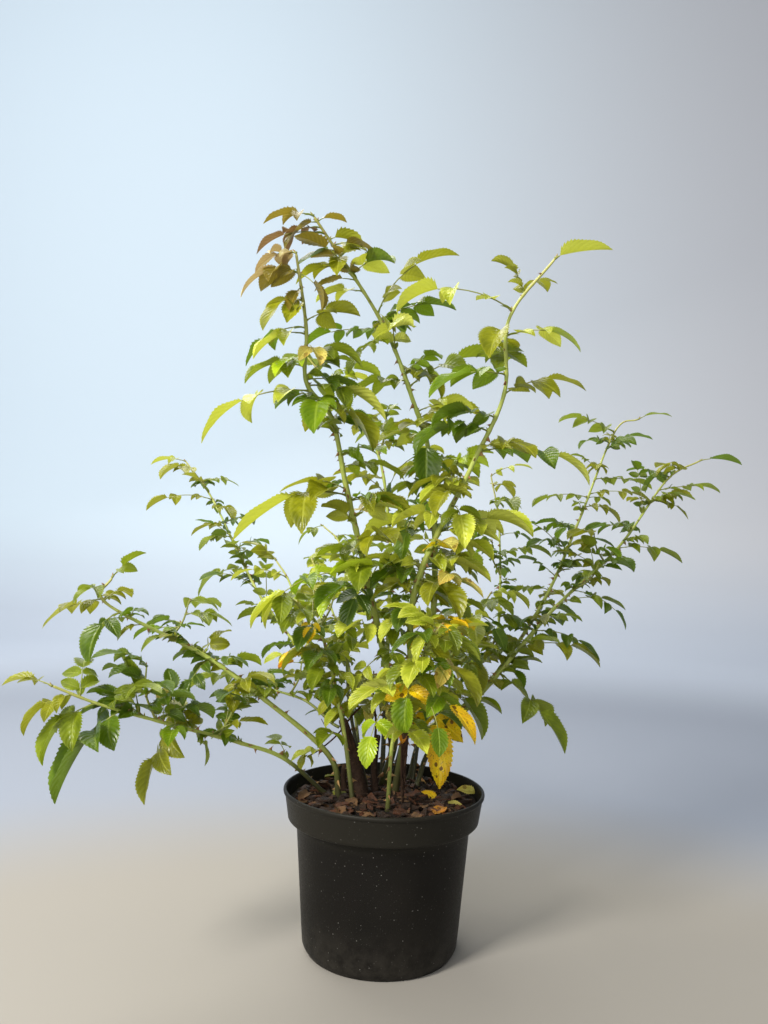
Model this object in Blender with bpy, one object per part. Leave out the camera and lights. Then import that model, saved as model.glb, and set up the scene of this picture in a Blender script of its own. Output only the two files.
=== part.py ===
"""A shrub rose in a round nursery pot: pot, soil, stumps, canes and their leafy upper parts.

Metres, +Z up. The origin is the middle of the pot's flat underside and the rose's front is -Y.
Bearings are degrees round +Z from +X, lifts are degrees above level.
"""
import math
import random

import bmesh
import bpy
from mathutils import Vector
from mathutils.bvhtree import BVHTree

GAP = 0.0003                # clear space between neighbouring pieces

# Pot
POT_HEIGHT = 0.175
RIM_RADIUS = 0.1125
COLLAR_HEIGHT = 0.033
COLLAR_FOOT_RADIUS = 0.1065
WALL_TOP_RADIUS = 0.0970
WALL_FOOT_RADIUS = 0.0868
BASE_RADIUS = 0.0820
POT_WALL = 0.0020
FLOOR_THICKNESS = 0.0030
POT_STEPS = 32
DRAIN_HOLES = 8
DRAIN_RADIUS = 0.0055
DRAIN_RING_RADIUS = 0.0600

# Soil
SOIL_LEVEL = 0.1600
SOIL_EDGE_LEVEL = 0.1570
SOIL_FLAT_RADIUS = 0.0980

# Limbs
FOOT_LEVEL = SOIL_LEVEL + GAP
LIMB_STEP = 0.040           # longest run of a limb between two of its rings
BOUGH_SIDES = 7
STEM_SIDES = 5
STUMP_SIDES = 9

# Leaves: a stalk with one end leaflet and up to three pairs of side leaflets
SPIRAL = 137.5              # turn from one bud to the next
STALK_ROOT_RADIUS = 0.0011
STALK_END_RADIUS = 0.0008
STALK_SINK = 0.0010         # a stalk's root lies this far past the middle of its stem
JOINTS = ((), (0.72,), (0.76, 0.27), (0.82, 0.52, 0.22))    # where side leaflets sit, by pairs
LEAFLET_WIDTH = 0.60        # of its length
LEAFLET_WIDEST = 0.45
LEAFLET_THICKNESS = 0.018
LEAFLET_FOLD = 0.10
LEAFLET_SAG = 0.06
SIDE_ANGLE = 66.0
LEAST_STALK = 0.60          # of the end leaflet, where there are side leaflets
STALK_PER_PAIR = 0.62       # stalk that each pair needs, of the end leaflet
SIDE_SHRINK = 0.90
SHOOT_LEAVES = ((0.5, 75), (1.0, -15))    # place on a side shoot and turn from its bearing
MARGIN = 0.0006             # air kept round each leaf
DODGES = (0, 10, -10, 20, -20, 32, -32)

# Old wood: knees, foot radius, top radius
STUMPS = {
    "stump_left": ([(-0.025, 0.010, FOOT_LEVEL), (-0.034, 0.012, 0.200), (-0.050, 0.014, 0.246)],
                   0.0085, 0.0052),
    "stump_middle": ([(-0.010, 0.022, FOOT_LEVEL), (-0.012, 0.022, 0.195), (-0.009, 0.020, 0.228)],
                     0.0042, 0.0034),
    "stump_dead": ([(0.021, -0.012, FOOT_LEVEL), (0.020, -0.018, 0.200), (0.021, -0.026, 0.242)],
                   0.0020, 0.0048),
}

# Shoots on a stump's cut top: stump, bearing and distance from its middle
FORKS = {
    "left_back": ("stump_left", 120, 0.0026),
    "left_inner": ("stump_left", -60, 0.0026),
}
FORK_RUN = 0.022            # how far such a shoot runs straight on

# Shoots on a stump's flank: stump, place on it, bearing, lift
SPRIGS = {
    "left_thin": ("stump_left", 0.84, 165, 25),
}

# Canes: knees, foot radius, tip radius, where the leaves start, bud spacing, leaflet length, seed
CANES = {
    "left_low": ([(-0.064, 0.010, FOOT_LEVEL), (-0.110, -0.020, 0.207), (-0.155, -0.050, 0.230),
                  (-0.225, -0.110, 0.262), (-0.275, -0.150, 0.285), (-0.315, -0.170, 0.305)],
                 0.0026, 0.0012, 0.40, 0.034, 0.038, 11),
    "left_mid": ([(-0.050, -0.003, FOOT_LEVEL), (-0.062, -0.018, 0.212), (-0.130, -0.050, 0.276),
                  (-0.195, -0.070, 0.325), (-0.290, -0.100, 0.378), (-0.285, -0.100, 0.405)],
                 0.0034, 0.0012, 0.42, 0.030, 0.034, 12),
    "left_thin": ([(-0.095, 0.030, 0.263), (-0.140, 0.050, 0.272), (-0.185, 0.070, 0.282)],
                  0.0018, 0.0010, 0.36, 0.028, 0.034, 13),
    "left_back": ([(-0.098, 0.074, 0.306), (-0.170, 0.140, 0.380),
                   (-0.245, 0.200, 0.500), (-0.290, 0.220, 0.555)],
                  0.0022, 0.0011, 0.24, 0.033, 0.032, 14),
    "left_inner": ([(-0.086, 0.006, 0.315), (-0.115, 0.020, 0.395),
                    (-0.135, 0.030, 0.425)],
                   0.0020, 0.0010, 0.30, 0.032, 0.034, 15),
    "left_front": ([(-0.034, -0.016, FOOT_LEVEL), (-0.050, -0.026, 0.258), (-0.075, -0.060, 0.355),
                    (-0.110, -0.100, 0.395)],
                   0.0026, 0.0012, 0.42, 0.032, 0.038, 16),
    "middle_thin": ([(-0.020, 0.047, FOOT_LEVEL), (-0.045, 0.062, 0.260), (-0.055, 0.110, 0.390),
                     (-0.065, 0.130, 0.445), (-0.090, 0.150, 0.470)],
                    0.0024, 0.0010, 0.24, 0.034, 0.034, 17),
    "middle_back": ([(-0.002, 0.088, FOOT_LEVEL), (0.000, 0.110, 0.380), (-0.005, 0.130, 0.485),
                     (-0.030, 0.130, 0.585), (-0.115, 0.120, 0.685)],
                    0.0032, 0.0012, 0.32, 0.036, 0.038, 18),
    "tall_left": ([(-0.002, 0.052, FOOT_LEVEL), (0.010, 0.002, 0.250), (-0.025, -0.060, 0.405),
                   (-0.050, -0.100, 0.505), (-0.065, -0.130, 0.570), (-0.090, -0.150, 0.602),
                   (-0.090, -0.170, 0.650), (-0.100, -0.190, 0.715)],
                  0.0048, 0.0012, 0.30, 0.034, 0.042, 19),
    "tall_middle": ([(0.012, 0.074, FOOT_LEVEL), (0.035, 0.020, 0.285), (0.050, 0.008, 0.380),
                     (0.040, -0.040, 0.530), (0.015, -0.070, 0.605), (-0.020, -0.090, 0.680),
                     (-0.090, -0.140, 0.770)],
                    0.0048, 0.0012, 0.32, 0.036, 0.042, 20),
    "tall_right": ([(0.012, 0.022, FOOT_LEVEL), (0.025, -0.020, 0.275), (0.025, -0.070, 0.400),
                    (0.075, -0.110, 0.525), (0.105, -0.130, 0.600), (0.105, -0.150, 0.670),
                    (0.145, -0.170, 0.725)],
                   0.0044, 0.0012, 0.28, 0.036, 0.042, 21),
    "right_back": ([(0.030, 0.078, FOOT_LEVEL), (0.050, 0.104, 0.215), (0.125, 0.140, 0.265),
                    (0.208, 0.190, 0.375), (0.264, 0.230, 0.490), (0.325, 0.280, 0.625),
                    (0.360, 0.280, 0.645)],
                   0.0032, 0.0011, 0.26, 0.033, 0.034, 22),
    "right_far": ([(0.038, 0.052, FOOT_LEVEL), (0.058, 0.078, 0.205), (0.120, 0.110, 0.265),
                   (0.215, 0.150, 0.370), (0.310, 0.190, 0.455), (0.380, 0.210, 0.550),
                   (0.430, 0.220, 0.580)],
                  0.0032, 0.0011, 0.24, 0.034, 0.036, 23),
    "right_thin": ([(0.010, 0.096, FOOT_LEVEL), (0.036, 0.122, 0.215), (0.135, 0.172, 0.310),
                    (0.150, 0.190, 0.380), (0.150, 0.220, 0.485), (0.140, 0.240, 0.550)],
                   0.0024, 0.0010, 0.34, 0.033, 0.032, 24),
    "front_short": ([(0.004, -0.040, FOOT_LEVEL), (0.008, -0.066, 0.250), (0.030, -0.115, 0.330),
                     (0.048, -0.150, 0.372)],
                    0.0024, 0.0010, 0.36, 0.036, 0.038, 26),
    "back_short": ([(-0.026, 0.080, FOOT_LEVEL), (-0.050, 0.140, 0.290), (-0.085, 0.205, 0.375),
                    (-0.112, 0.250, 0.425)],
                   0.0024, 0.0010, 0.36, 0.038, 0.036, 27),
    "right_inner": ([(0.034, 0.066, FOOT_LEVEL), (0.050, 0.090, 0.260), (0.080, 0.110, 0.310),
                     (0.135, 0.160, 0.390)],
                    0.0022, 0.0010, 0.26, 0.034, 0.036, 25),
}

# Leaves that give the bush its outline:
# place on the cane, bearing, lift, droop, reach (mm), end leaflet (mm), pairs of side leaflets
SET_LEAVES = {
    "left_low": [(1.00, 180, 25, 40, 48, 36, 1), (0.94, 200, -10, 50, 58, 34, 2),
                 (0.87, 210, -10, 70, 76, 52, 1), (0.80, 215, -30, 50, 100, 62, 1),
                 (0.63, 215, -60, 20, 80, 44, 2), (0.76, 175, 60, 70, 54, 40, 1)],
    "left_mid": [(1.00, -10, 50, 20, 44, 34, 1), (0.97, 230, 0, 40, 40, 28, 1),
                 (0.93, 190, -5, 40, 66, 34, 1), (0.87, 235, -10, 80, 66, 48, 1),
                 (0.62, 55, 65, 60, 48, 34, 1)],
    "left_thin": [(0.95, 200, 20, 60, 68, 34, 2)],
    "left_back": [(1.00, 195, 15, 40, 48, 32, 1), (0.84, 200, 20, 60, 94, 32, 2),
                  (0.70, 220, 20, 80, 54, 28, 1), (0.58, 210, 15, 80, 80, 34, 1)],
    "left_inner": [(1.00, 165, 50, 50, 50, 30, 2)],
    "left_front": [(0.97, 205, 0, 70, 52, 42, 0), (0.86, 245, 20, 80, 54, 40, 1)],
    "middle_thin": [(1.00, 190, -10, 50, 42, 28, 1)],
    "tall_left": [(1.00, 170, 10, 60, 46, 28, 1), (0.97, 195, 20, 90, 66, 42, 1),
                  (0.93, 220, 5, 90, 60, 44, 1), (0.85, 5, 30, 70, 60, 42, 1),
                  (0.83, 205, 15, 60, 66, 46, 1), (0.79, 190, 5, 60, 124, 56, 2),
                  (0.77, -90, 5, 90, 66, 42, 1), (0.60, 195, 15, 80, 132, 72, 1),
                  (0.47, 265, 20, 80, 62, 40, 1), (0.42, 230, 30, 80, 88, 44, 1)],
    "tall_middle": [(1.00, 195, 10, 50, 52, 42, 1), (0.99, 30, 45, 70, 34, 26, 0),
                    (0.97, 195, 5, 50, 76, 34, 1), (0.93, 75, 60, 60, 52, 30, 1),
                    (0.90, -40, 35, 60, 58, 44, 1), (0.83, -5, 75, 70, 112, 45, 2),
                    (0.80, 165, 15, 40, 96, 34, 3), (0.71, -5, 45, 50, 112, 52, 2),
                    (0.62, 210, 25, 50, 62, 38, 2), (0.58, -100, 15, 70, 64, 46, 1)],
    "tall_right": [(1.00, -15, 30, 60, 52, 50, 0), (0.93, 150, 80, 60, 54, 28, 1),
                   (0.90, 185, 35, 70, 124, 46, 2), (0.87, 240, -5, 70, 56, 42, 0),
                   (0.86, -20, 20, 60, 80, 36, 1), (0.80, 195, 10, 50, 88, 50, 1),
                   (0.77, 5, 35, 50, 88, 42, 2), (0.67, 0, 15, 50, 124, 45, 3),
                   (0.52, -20, 30, 50, 104, 50, 2)],
    "right_back": [(1.00, 0, 30, 30, 50, 40, 0), (0.93, 195, 30, 40, 94, 36, 1),
                   (0.90, 10, 30, 40, 70, 38, 1), (0.80, 10, 10, 30, 90, 34, 3),
                   (0.75, 200, 15, 50, 94, 28, 2), (0.63, 205, 20, 50, 74, 30, 2)],
    "right_far": [(1.00, 0, 15, 30, 58, 44, 0), (0.91, 200, 25, 40, 72, 28, 2),
                  (0.87, 5, 15, 20, 90, 36, 2), (0.76, 200, 15, 40, 78, 34, 2),
                  (0.70, -15, 15, 50, 88, 34, 2), (0.50, -5, 30, 60, 92, 34, 2),
                  (0.37, -20, 25, 60, 110, 44, 2), (0.30, -40, -5, 70, 134, 56, 2)],
    "right_thin": [(1.00, -10, 40, 50, 62, 26, 1)],
    "right_inner": [(0.40, -80, -20, 60, 126, 72, 1), (0.46, -40, -10, 50, 98, 52, 1)],
}

WOOD = (0.10, 0.055, 0.045, 1.0)
CANE_GREEN = (0.27, 0.36, 0.10, 1.0)
LEAF_GREEN = (0.19, 0.32, 0.055, 1.0)


class Course:
    """A smooth line through a limb's knees, measured along its length."""

    def __init__(self, knees, step=LIMB_STEP):
        points = [Vector(knee) for knee in knees]
        ends = [2 * points[0] - points[1]] + points + [2 * points[-1] - points[-2]]
        line = []
        for a, b, c, d in zip(ends, ends[1:], ends[2:], ends[3:]):
            for k in range(12):
                t = k / 12
                line.append(0.5 * (2 * b + (c - a) * t + (2 * a - 5 * b + 4 * c - d) * t ** 2
                                   + (3 * b - a - 3 * c + d) * t ** 3))
        self.line = line + [points[-1]]
        self.marks = [0.0]
        for a, b in zip(self.line, self.line[1:]):
            self.marks.append(self.marks[-1] + (b - a).length)
        self.length = self.marks[-1]
        self.step = step

    def point(self, at):
        run = max(0.0, min(1.0, at)) * self.length
        k = 0
        while k < len(self.marks) - 2 and self.marks[k + 1] < run:
            k += 1
        part = (run - self.marks[k]) / (self.marks[k + 1] - self.marks[k])
        return self.line[k].lerp(self.line[k + 1], part)

    def heading(self, at):
        ahead = self.point(min(1.0, at + 0.004))
        return (ahead - self.point(max(0.0, at - 0.004))).normalized()

    def stations(self, start, end):
        count = max(2, math.ceil((end - start) * self.length / self.step))
        return [start + (end - start) * k / count for k in range(count + 1)]


class Leaf:
    """One compound leaf: where its stalk springs, how it leads off and how large it is."""

    def __init__(self, origin, bearing, lift, droop, reach, size, pairs):
        self.origin = origin
        self.bearing = bearing
        self.lift = lift
        self.droop = droop
        self.reach = reach
        self.size = min(size, reach / (1.1 if pairs == 0 else 1 + LEAST_STALK))
        fitting = int((reach - self.size) / self.size / STALK_PER_PAIR)
        self.pairs = min(pairs, max(1, fitting))

    def turned(self, angle):
        return Leaf(self.origin, self.bearing + angle, self.lift + angle / 3, self.droop,
                    self.reach, self.size, self.pairs)


def heading_of(bearing, lift):
    flat = math.cos(math.radians(lift))
    return Vector((flat * math.cos(math.radians(bearing)), flat * math.sin(math.radians(bearing)),
                   math.sin(math.radians(lift))))


def limb_radius(name, at):
    foot, tip = CANES[name][1:3]
    return foot + (tip - foot) * at ** 0.8


def new_object(name, bm, smooth=False):
    bmesh.ops.recalc_face_normals(bm, faces=bm.faces[:])
    mesh = bpy.data.meshes.new(name)
    bm.to_mesh(mesh)
    bm.free()
    mesh.polygons.foreach_set("use_smooth", [smooth] * len(mesh.polygons))
    item = bpy.data.objects.new(name, mesh)
    bpy.context.scene.collection.objects.link(item)
    return item


def paint(item, colour, roughness):
    material = bpy.data.materials.new(item.name)
    material.use_nodes = True
    shader = material.node_tree.nodes["Principled BSDF"]
    shader.inputs["Base Color"].default_value = colour
    shader.inputs["Roughness"].default_value = roughness
    item.data.materials.clear()
    item.data.materials.append(material)


def add_tube(bm, points, headings, radii, sides):
    """A closed tapering tube with a ring square to the heading at each of its points."""
    rings = []
    side = headings[0].cross(Vector((0.31, 0.95, 0.05)))
    for point, ahead, radius in zip(points, headings, radii):
        side = (side - ahead * side.dot(ahead)).normalized()
        other = ahead.cross(side)
        ring = []
        for s in range(sides):
            turn = 2 * math.pi * s / sides
            ring.append(bm.verts.new(point + (side * math.cos(turn) + other * math.sin(turn))
                                     * radius))
        rings.append(ring)
    for low, high in zip(rings, rings[1:]):
        for s in range(sides):
            t = (s + 1) % sides
            bm.faces.new((low[s], low[t], high[t], high[s]))
    bm.faces.new(rings[0][::-1])
    bm.faces.new(rings[-1])


def limb_shape(course, start, end, radius_at, sides):
    """One stretch of a limb as a closed shape."""
    bm = bmesh.new()
    places = course.stations(start, end)
    add_tube(bm, [course.point(at) for at in places], [course.heading(at) for at in places],
             [radius_at(at) for at in places], sides)
    return bm


def revolve(name, profile, steps):
    """A turned solid from a closed profile of (radius, height); radius 0 closes on the axis."""
    bm = bmesh.new()
    rings = []
    for radius, height in profile:
        if radius == 0:
            rings.append([bm.verts.new((0, 0, height))] * steps)
            continue
        rings.append([bm.verts.new((radius * math.cos(2 * math.pi * s / steps),
                                    radius * math.sin(2 * math.pi * s / steps), height))
                      for s in range(steps)])
    for low, high in zip(rings, rings[1:] + rings[:1]):
        for s in range(steps):
            t = (s + 1) % steps
            corners = list(dict.fromkeys((low[s], low[t], high[t], high[s])))
            if len(corners) > 2:
                bm.faces.new(corners)
    return new_object(name, bm, smooth=True)


def combine(base, parts, operation, solver):
    """Join or cut with every part at once, then remove the parts."""
    tools = bpy.data.collections.new("tools")
    bpy.context.scene.collection.children.link(tools)
    for part in parts:
        bpy.context.scene.collection.objects.unlink(part)
        tools.objects.link(part)
        part.hide_render = True
        part.display_type = "WIRE"
    step = base.modifiers.new("join", "BOOLEAN")
    step.operation = operation
    step.operand_type = "COLLECTION"
    step.collection = tools
    step.solver = solver
    graph = bpy.context.evaluated_depsgraph_get()
    mesh = bpy.data.meshes.new_from_object(base.evaluated_get(graph))
    base.modifiers.clear()
    base.data = mesh
    for part in parts:
        bpy.data.objects.remove(part)
    bpy.data.collections.remove(tools)


def keep_largest_body(item):
    """Drop loose scraps and any shell sealed inside the solid."""
    bm = bmesh.new()
    bm.from_mesh(item.data)
    bm.verts.ensure_lookup_table()
    seen = set()
    bodies = []
    for vert in bm.verts:
        if vert in seen:
            continue
        body = []
        stack = [vert]
        seen.add(vert)
        while stack:
            here = stack.pop()
            body.append(here)
            for edge in here.link_edges:
                there = edge.other_vert(here)
                if there not in seen:
                    seen.add(there)
                    stack.append(there)
        bodies.append(body)
    bodies.sort(key=len, reverse=True)
    for body in bodies[1:]:
        bmesh.ops.delete(bm, geom=body, context="VERTS")
    bmesh.ops.triangulate(bm, faces=bm.faces[:])
    bm.to_mesh(item.data)
    bm.free()


def build_pot():
    """A turned shell: rounded foot, tapered wall, stepped collar with a rolled lip."""
    collar_foot = POT_HEIGHT - COLLAR_HEIGHT
    outside = [(0, 0), (BASE_RADIUS - 0.004, 0), (BASE_RADIUS, 0.0012),
               (WALL_FOOT_RADIUS - 0.001, 0.008), (WALL_FOOT_RADIUS + 0.0012, 0.030),
               (WALL_TOP_RADIUS - 0.0004, collar_foot - 0.006),
               (WALL_TOP_RADIUS + 0.001, collar_foot - 0.002),
               (COLLAR_FOOT_RADIUS - 0.003, collar_foot), (COLLAR_FOOT_RADIUS, collar_foot + 0.003),
               (RIM_RADIUS - 0.0016, POT_HEIGHT - 0.005), (RIM_RADIUS, POT_HEIGHT - 0.003),
               (RIM_RADIUS - 0.0006, POT_HEIGHT)]
    inside = [(RIM_RADIUS - POT_WALL - 0.001, POT_HEIGHT),
              (RIM_RADIUS - POT_WALL - 0.0016, POT_HEIGHT - 0.005),
              (COLLAR_FOOT_RADIUS - POT_WALL, collar_foot + 0.004),
              (WALL_TOP_RADIUS - POT_WALL, collar_foot - 0.001),
              (WALL_FOOT_RADIUS + 0.0012 - POT_WALL, 0.030),
              (BASE_RADIUS - POT_WALL, FLOOR_THICKNESS), (0, FLOOR_THICKNESS)]
    pot = revolve("pot", outside + inside, POT_STEPS)
    drains = []
    for k in range(DRAIN_HOLES):
        turn = 2 * math.pi * (k + 0.5) / DRAIN_HOLES
        middle = Vector((math.cos(turn), math.sin(turn), 0)) * DRAIN_RING_RADIUS
        bm = bmesh.new()
        add_tube(bm, [middle - Vector((0, 0, 0.002)), middle + Vector((0, 0, FLOOR_THICKNESS + 0.0001))],
                 [Vector((0, 0, 1))] * 2, [DRAIN_RADIUS] * 2, 8)
        drains.append(new_object("drain_%d" % k, bm))
    combine(pot, drains, "DIFFERENCE", "EXACT")
    paint(pot, (0.016, 0.017, 0.019, 1.0), 0.55)
    return pot


def build_soil():
    """The filled inside of the pot, flat where the canes stand and lower along the wall."""
    collar_foot = POT_HEIGHT - COLLAR_HEIGHT
    slack = POT_WALL + GAP
    profile = [(0, FLOOR_THICKNESS + GAP), (BASE_RADIUS - slack - GAP, FLOOR_THICKNESS + GAP),
               (WALL_FOOT_RADIUS + 0.0012 - slack, 0.030),
               (WALL_TOP_RADIUS - slack, collar_foot - 0.001 + GAP),
               (COLLAR_FOOT_RADIUS - slack, collar_foot + 0.004 + GAP),
               (COLLAR_FOOT_RADIUS - slack + 0.0018, SOIL_EDGE_LEVEL),
               (SOIL_FLAT_RADIUS, SOIL_LEVEL), (0, SOIL_LEVEL)]
    soil = revolve("soil", profile, POT_STEPS)
    soil.data.polygons.foreach_set("use_smooth", [False] * len(soil.data.polygons))
    paint(soil, (0.050, 0.030, 0.020, 1.0), 0.95)
    return soil


def build_stump(name):
    knees, foot, top = STUMPS[name]
    bm = limb_shape(Course(knees, step=0.018), 0, 1,
                    lambda at: foot + (top - foot) * at + 0.0004 * math.sin(23 * at), STUMP_SIDES)
    level_foot(bm)
    stump = new_object(name, bm, smooth=True)
    paint(stump, WOOD, 0.85)
    return stump


def level_foot(bm):
    """Cut a limb's foot flat at the soil."""
    foot = sorted(bm.verts, key=lambda vert: vert.co.z)
    low = [vert for vert in foot if vert.co.z < FOOT_LEVEL + 0.006]
    for vert in low:
        vert.co.z = FOOT_LEVEL


def cane_course(name):
    """A cane's line; one that springs from a stump starts just clear of it."""
    knees = [Vector(knee) for knee in CANES[name][0]]
    if name in FORKS:
        stump, bearing, offset = FORKS[name]
        wood = Course(STUMPS[stump][0])
        along = wood.heading(1.0)
        aside = heading_of(bearing, 0)
        aside = (aside - along * aside.dot(along)).normalized() * offset
        start = wood.point(1.0) + along * GAP * 1.5 + aside
        knees = [start, start + along * FORK_RUN] + knees
    if name in SPRIGS:
        stump, place, bearing, lift = SPRIGS[name]
        line, foot, top = STUMPS[stump]
        wood = Course(line)
        away = heading_of(bearing, lift)
        along = wood.heading(place)
        clear = foot + (top - foot) * place - GAP + CANES[name][1] * away.dot(along)
        start = wood.point(place) + away * clear / away.cross(along).length
        knees = [start, start + away * FORK_RUN / 2] + knees
    return Course(knees)


def build_bough(name, course):
    """The bare lower part of a cane, from the soil to where its leaves start."""
    bm = limb_shape(course, 0, CANES[name][3], lambda at: limb_radius(name, at), BOUGH_SIDES)
    if name not in FORKS and name not in SPRIGS:
        level_foot(bm)
    bough = new_object("bough_" + name, bm, smooth=True)
    paint(bough, CANE_GREEN, 0.5)
    return bough


def spiral_leaves(name, course):
    """Leaves and side shoots dealt round a cane between the ones that were set."""
    leafy, gap, size, seed = CANES[name][3:]
    rng = random.Random(seed)
    taken = [row[0] for row in SET_LEAVES.get(name, ())]
    count = round((1 - leafy) * course.length / gap)
    rows = []
    for k in range(count):
        at = leafy + (1 - leafy) * (k + 0.7) / count + rng.uniform(-0.2, 0.2) / count
        bearing = SPIRAL * k + 31 * seed + rng.uniform(-20, 20)
        lift = rng.uniform(15, 50)
        droop = rng.uniform(45, 80)
        blade = size * rng.uniform(0.78, 1.08)
        reach = blade * rng.uniform(1.7, 2.3)
        forks = rng.random() < 0.20 and at < 0.8
        if min([abs(at - other) for other in taken] + [1]) * course.length < 0.42 * gap:
            continue
        rows.append((min(at, 0.995), bearing, lift, droop, reach, blade, forks))
    return rows


def mass_plan(name, course):
    """What grows on one cane: leaves, and side shoots that each come with their own leaves."""
    leaves = []
    sprays = []
    for at, bearing, lift, droop, reach, size, pairs in SET_LEAVES.get(name, ()):
        leaves.append(Leaf(course.point(at), bearing, lift, droop, reach / 1000, size / 1000, pairs))
    for at, bearing, lift, droop, reach, size, forks in spiral_leaves(name, course):
        origin = course.point(at)
        if not forks:
            leaves.append(Leaf(origin, bearing, lift, droop, reach, size, 1))
            continue
        tip = origin + heading_of(bearing, lift + 25) * reach * 0.75
        bend = origin.lerp(tip, 0.5) + heading_of(bearing, lift - 40) * reach * 0.10
        shoot = Course([origin, bend, tip], step=0.05)
        sprays.append((shoot, [Leaf(shoot.point(spot), bearing + turn, lift, droop, reach * 0.8,
                                    size * 0.9, 1) for spot, turn in SHOOT_LEAVES]))
    return leaves, sprays


def stalk_place(leaf, run):
    """The point and heading at a distance down a leaf's stalk, which bends evenly by its droop."""
    here = leaf.origin.copy()
    steps = 10
    for k in range(steps):
        part = run * (k + 0.5) / steps / leaf.reach
        here += heading_of(leaf.bearing, leaf.lift - leaf.droop * part) * run / steps
    return here, heading_of(leaf.bearing, leaf.lift - leaf.droop * run / leaf.reach)


def leaf_frame(leaf, ahead):
    """Right-hand and upward directions of a leaf at one place on its stalk."""
    across = Vector((math.sin(math.radians(leaf.bearing)), -math.cos(math.radians(leaf.bearing)), 0))
    return across, across.cross(ahead).normalized()


def add_blade(bm, root, start, along, across, up, length, swell):
    """Grow a folded leaflet out of a loop of root corners; the loop starts at its right edge."""
    half = length * LEAFLET_WIDTH / 2 + swell
    thick = length * LEAFLET_THICKNESS / 2 + swell
    middle = start + along * length * LEAFLET_WIDEST
    right = bm.verts.new(middle + across * half + up * length * LEAFLET_FOLD)
    top = bm.verts.new(middle + up * (length * 0.03 + thick))
    left = bm.verts.new(middle - across * half + up * length * LEAFLET_FOLD)
    under = bm.verts.new(middle + up * (length * 0.03 - thick))
    tip = bm.verts.new(start + along * (length + swell) - up * length * LEAFLET_SAG)
    ring = (right, top, left, under)
    for k in range(4):
        bm.faces.new((ring[k], ring[(k + 1) % 4], tip))
    if len(root) == 3:
        bm.faces.new((root[0], root[1], top))
        bm.faces.new((root[0], top, right))
        bm.faces.new((root[1], left, top))
        bm.faces.new((root[1], root[2], left))
        bm.faces.new((root[2], under, left))
        bm.faces.new((root[2], right, under))
        bm.faces.new((root[2], root[0], right))
        return
    for k in range(4):
        following = (k + 1) % 4
        bm.faces.new((root[k], root[following], ring[following]))
        bm.faces.new((root[k], ring[following], ring[k]))


def leaf_shape(leaf, swell=0.0):
    """A whole compound leaf as one closed shape: a three-sided stalk that opens into its blades."""
    stalk = leaf.reach - leaf.size
    seat = 0.0018
    stops = [-STALK_SINK]
    joints = [stalk * joint for joint in JOINTS[leaf.pairs]]
    for joint in reversed(joints):
        stops += [joint, joint + seat]
    stops.append(stalk)
    bm = bmesh.new()
    rings = []
    for run in stops:
        here, ahead = stalk_place(leaf, run)
        across, up = leaf_frame(leaf, ahead)
        wide = STALK_ROOT_RADIUS + (STALK_END_RADIUS - STALK_ROOT_RADIUS) * run / stalk + swell
        rings.append([bm.verts.new(here + across * wide * 0.87 + up * wide * 0.5),
                      bm.verts.new(here - across * wide * 0.87 + up * wide * 0.5),
                      bm.verts.new(here - up * wide)])
    bm.faces.new(rings[0])
    for k, (low, high) in enumerate(zip(rings, rings[1:])):
        bm.faces.new((low[0], high[0], high[1], low[1]))
        if k % 2 == 1:
            here, ahead = stalk_place(leaf, stops[k] + seat / 2)
            across, up = leaf_frame(leaf, ahead)
            length = leaf.size * SIDE_SHRINK ** ((len(stops) - 1 - k) // 2)
            for sign in (1, -1):
                turn = math.radians(SIDE_ANGLE)
                along = ahead * math.cos(turn) + across * sign * math.sin(turn) - up * 0.10
                along.normalize()
                rise = (up + across * sign * 0.22).normalized()
                wing = along.cross(rise).normalized()
                rise = wing.cross(along)
                if sign > 0:
                    root = (low[0], high[0], high[2], low[2])
                else:
                    root = (high[1], low[1], low[2], high[2])
                add_blade(bm, root, here, along, wing, rise, length, swell)
        else:
            bm.faces.new((low[1], high[1], high[2], low[2]))
            bm.faces.new((low[2], high[2], high[0], low[0]))
    here, ahead = stalk_place(leaf, stalk)
    ahead = heading_of(leaf.bearing, leaf.lift - leaf.droop * (1 - leaf.size / leaf.reach / 2))
    across, up = leaf_frame(leaf, ahead)
    add_blade(bm, rings[-1], here, ahead, across, up, leaf.size, swell)
    return bm


def tree_of(parts):
    """One search tree over several shapes, which are used up."""
    whole = bmesh.new()
    for part in parts:
        mesh = bpy.data.meshes.new("probe")
        part.to_mesh(mesh)
        part.free()
        whole.from_mesh(mesh)
        bpy.data.meshes.remove(mesh)
    tree = BVHTree.FromBMesh(whole)
    whole.free()
    return tree


def tree_of_object(item):
    bm = bmesh.new()
    bm.from_mesh(item.data)
    tree = BVHTree.FromBMesh(bm)
    bm.free()
    return tree


def settle(leaf, obstacles):
    """Turn a leaf a little until it clears everything near, or give it up."""
    for angle in DODGES:
        moved = leaf.turned(angle)
        body = tree_of([leaf_shape(moved, MARGIN)])
        if not any(body.overlap(tree) for tree in obstacles):
            return moved, body
    return None, None


def stem_shape(name, course, swell=0.0):
    """The upper part of a cane, which carries its leaves; it starts just clear of the bough."""
    return limb_shape(course, CANES[name][3] + GAP / course.length, 1,
                      lambda at: limb_radius(name, at) + swell, STEM_SIDES)


def shoot_shape(shoot, swell=0.0):
    return limb_shape(shoot, 0, 1, lambda at: 0.0013 - 0.0004 * at + swell, 3)


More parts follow.
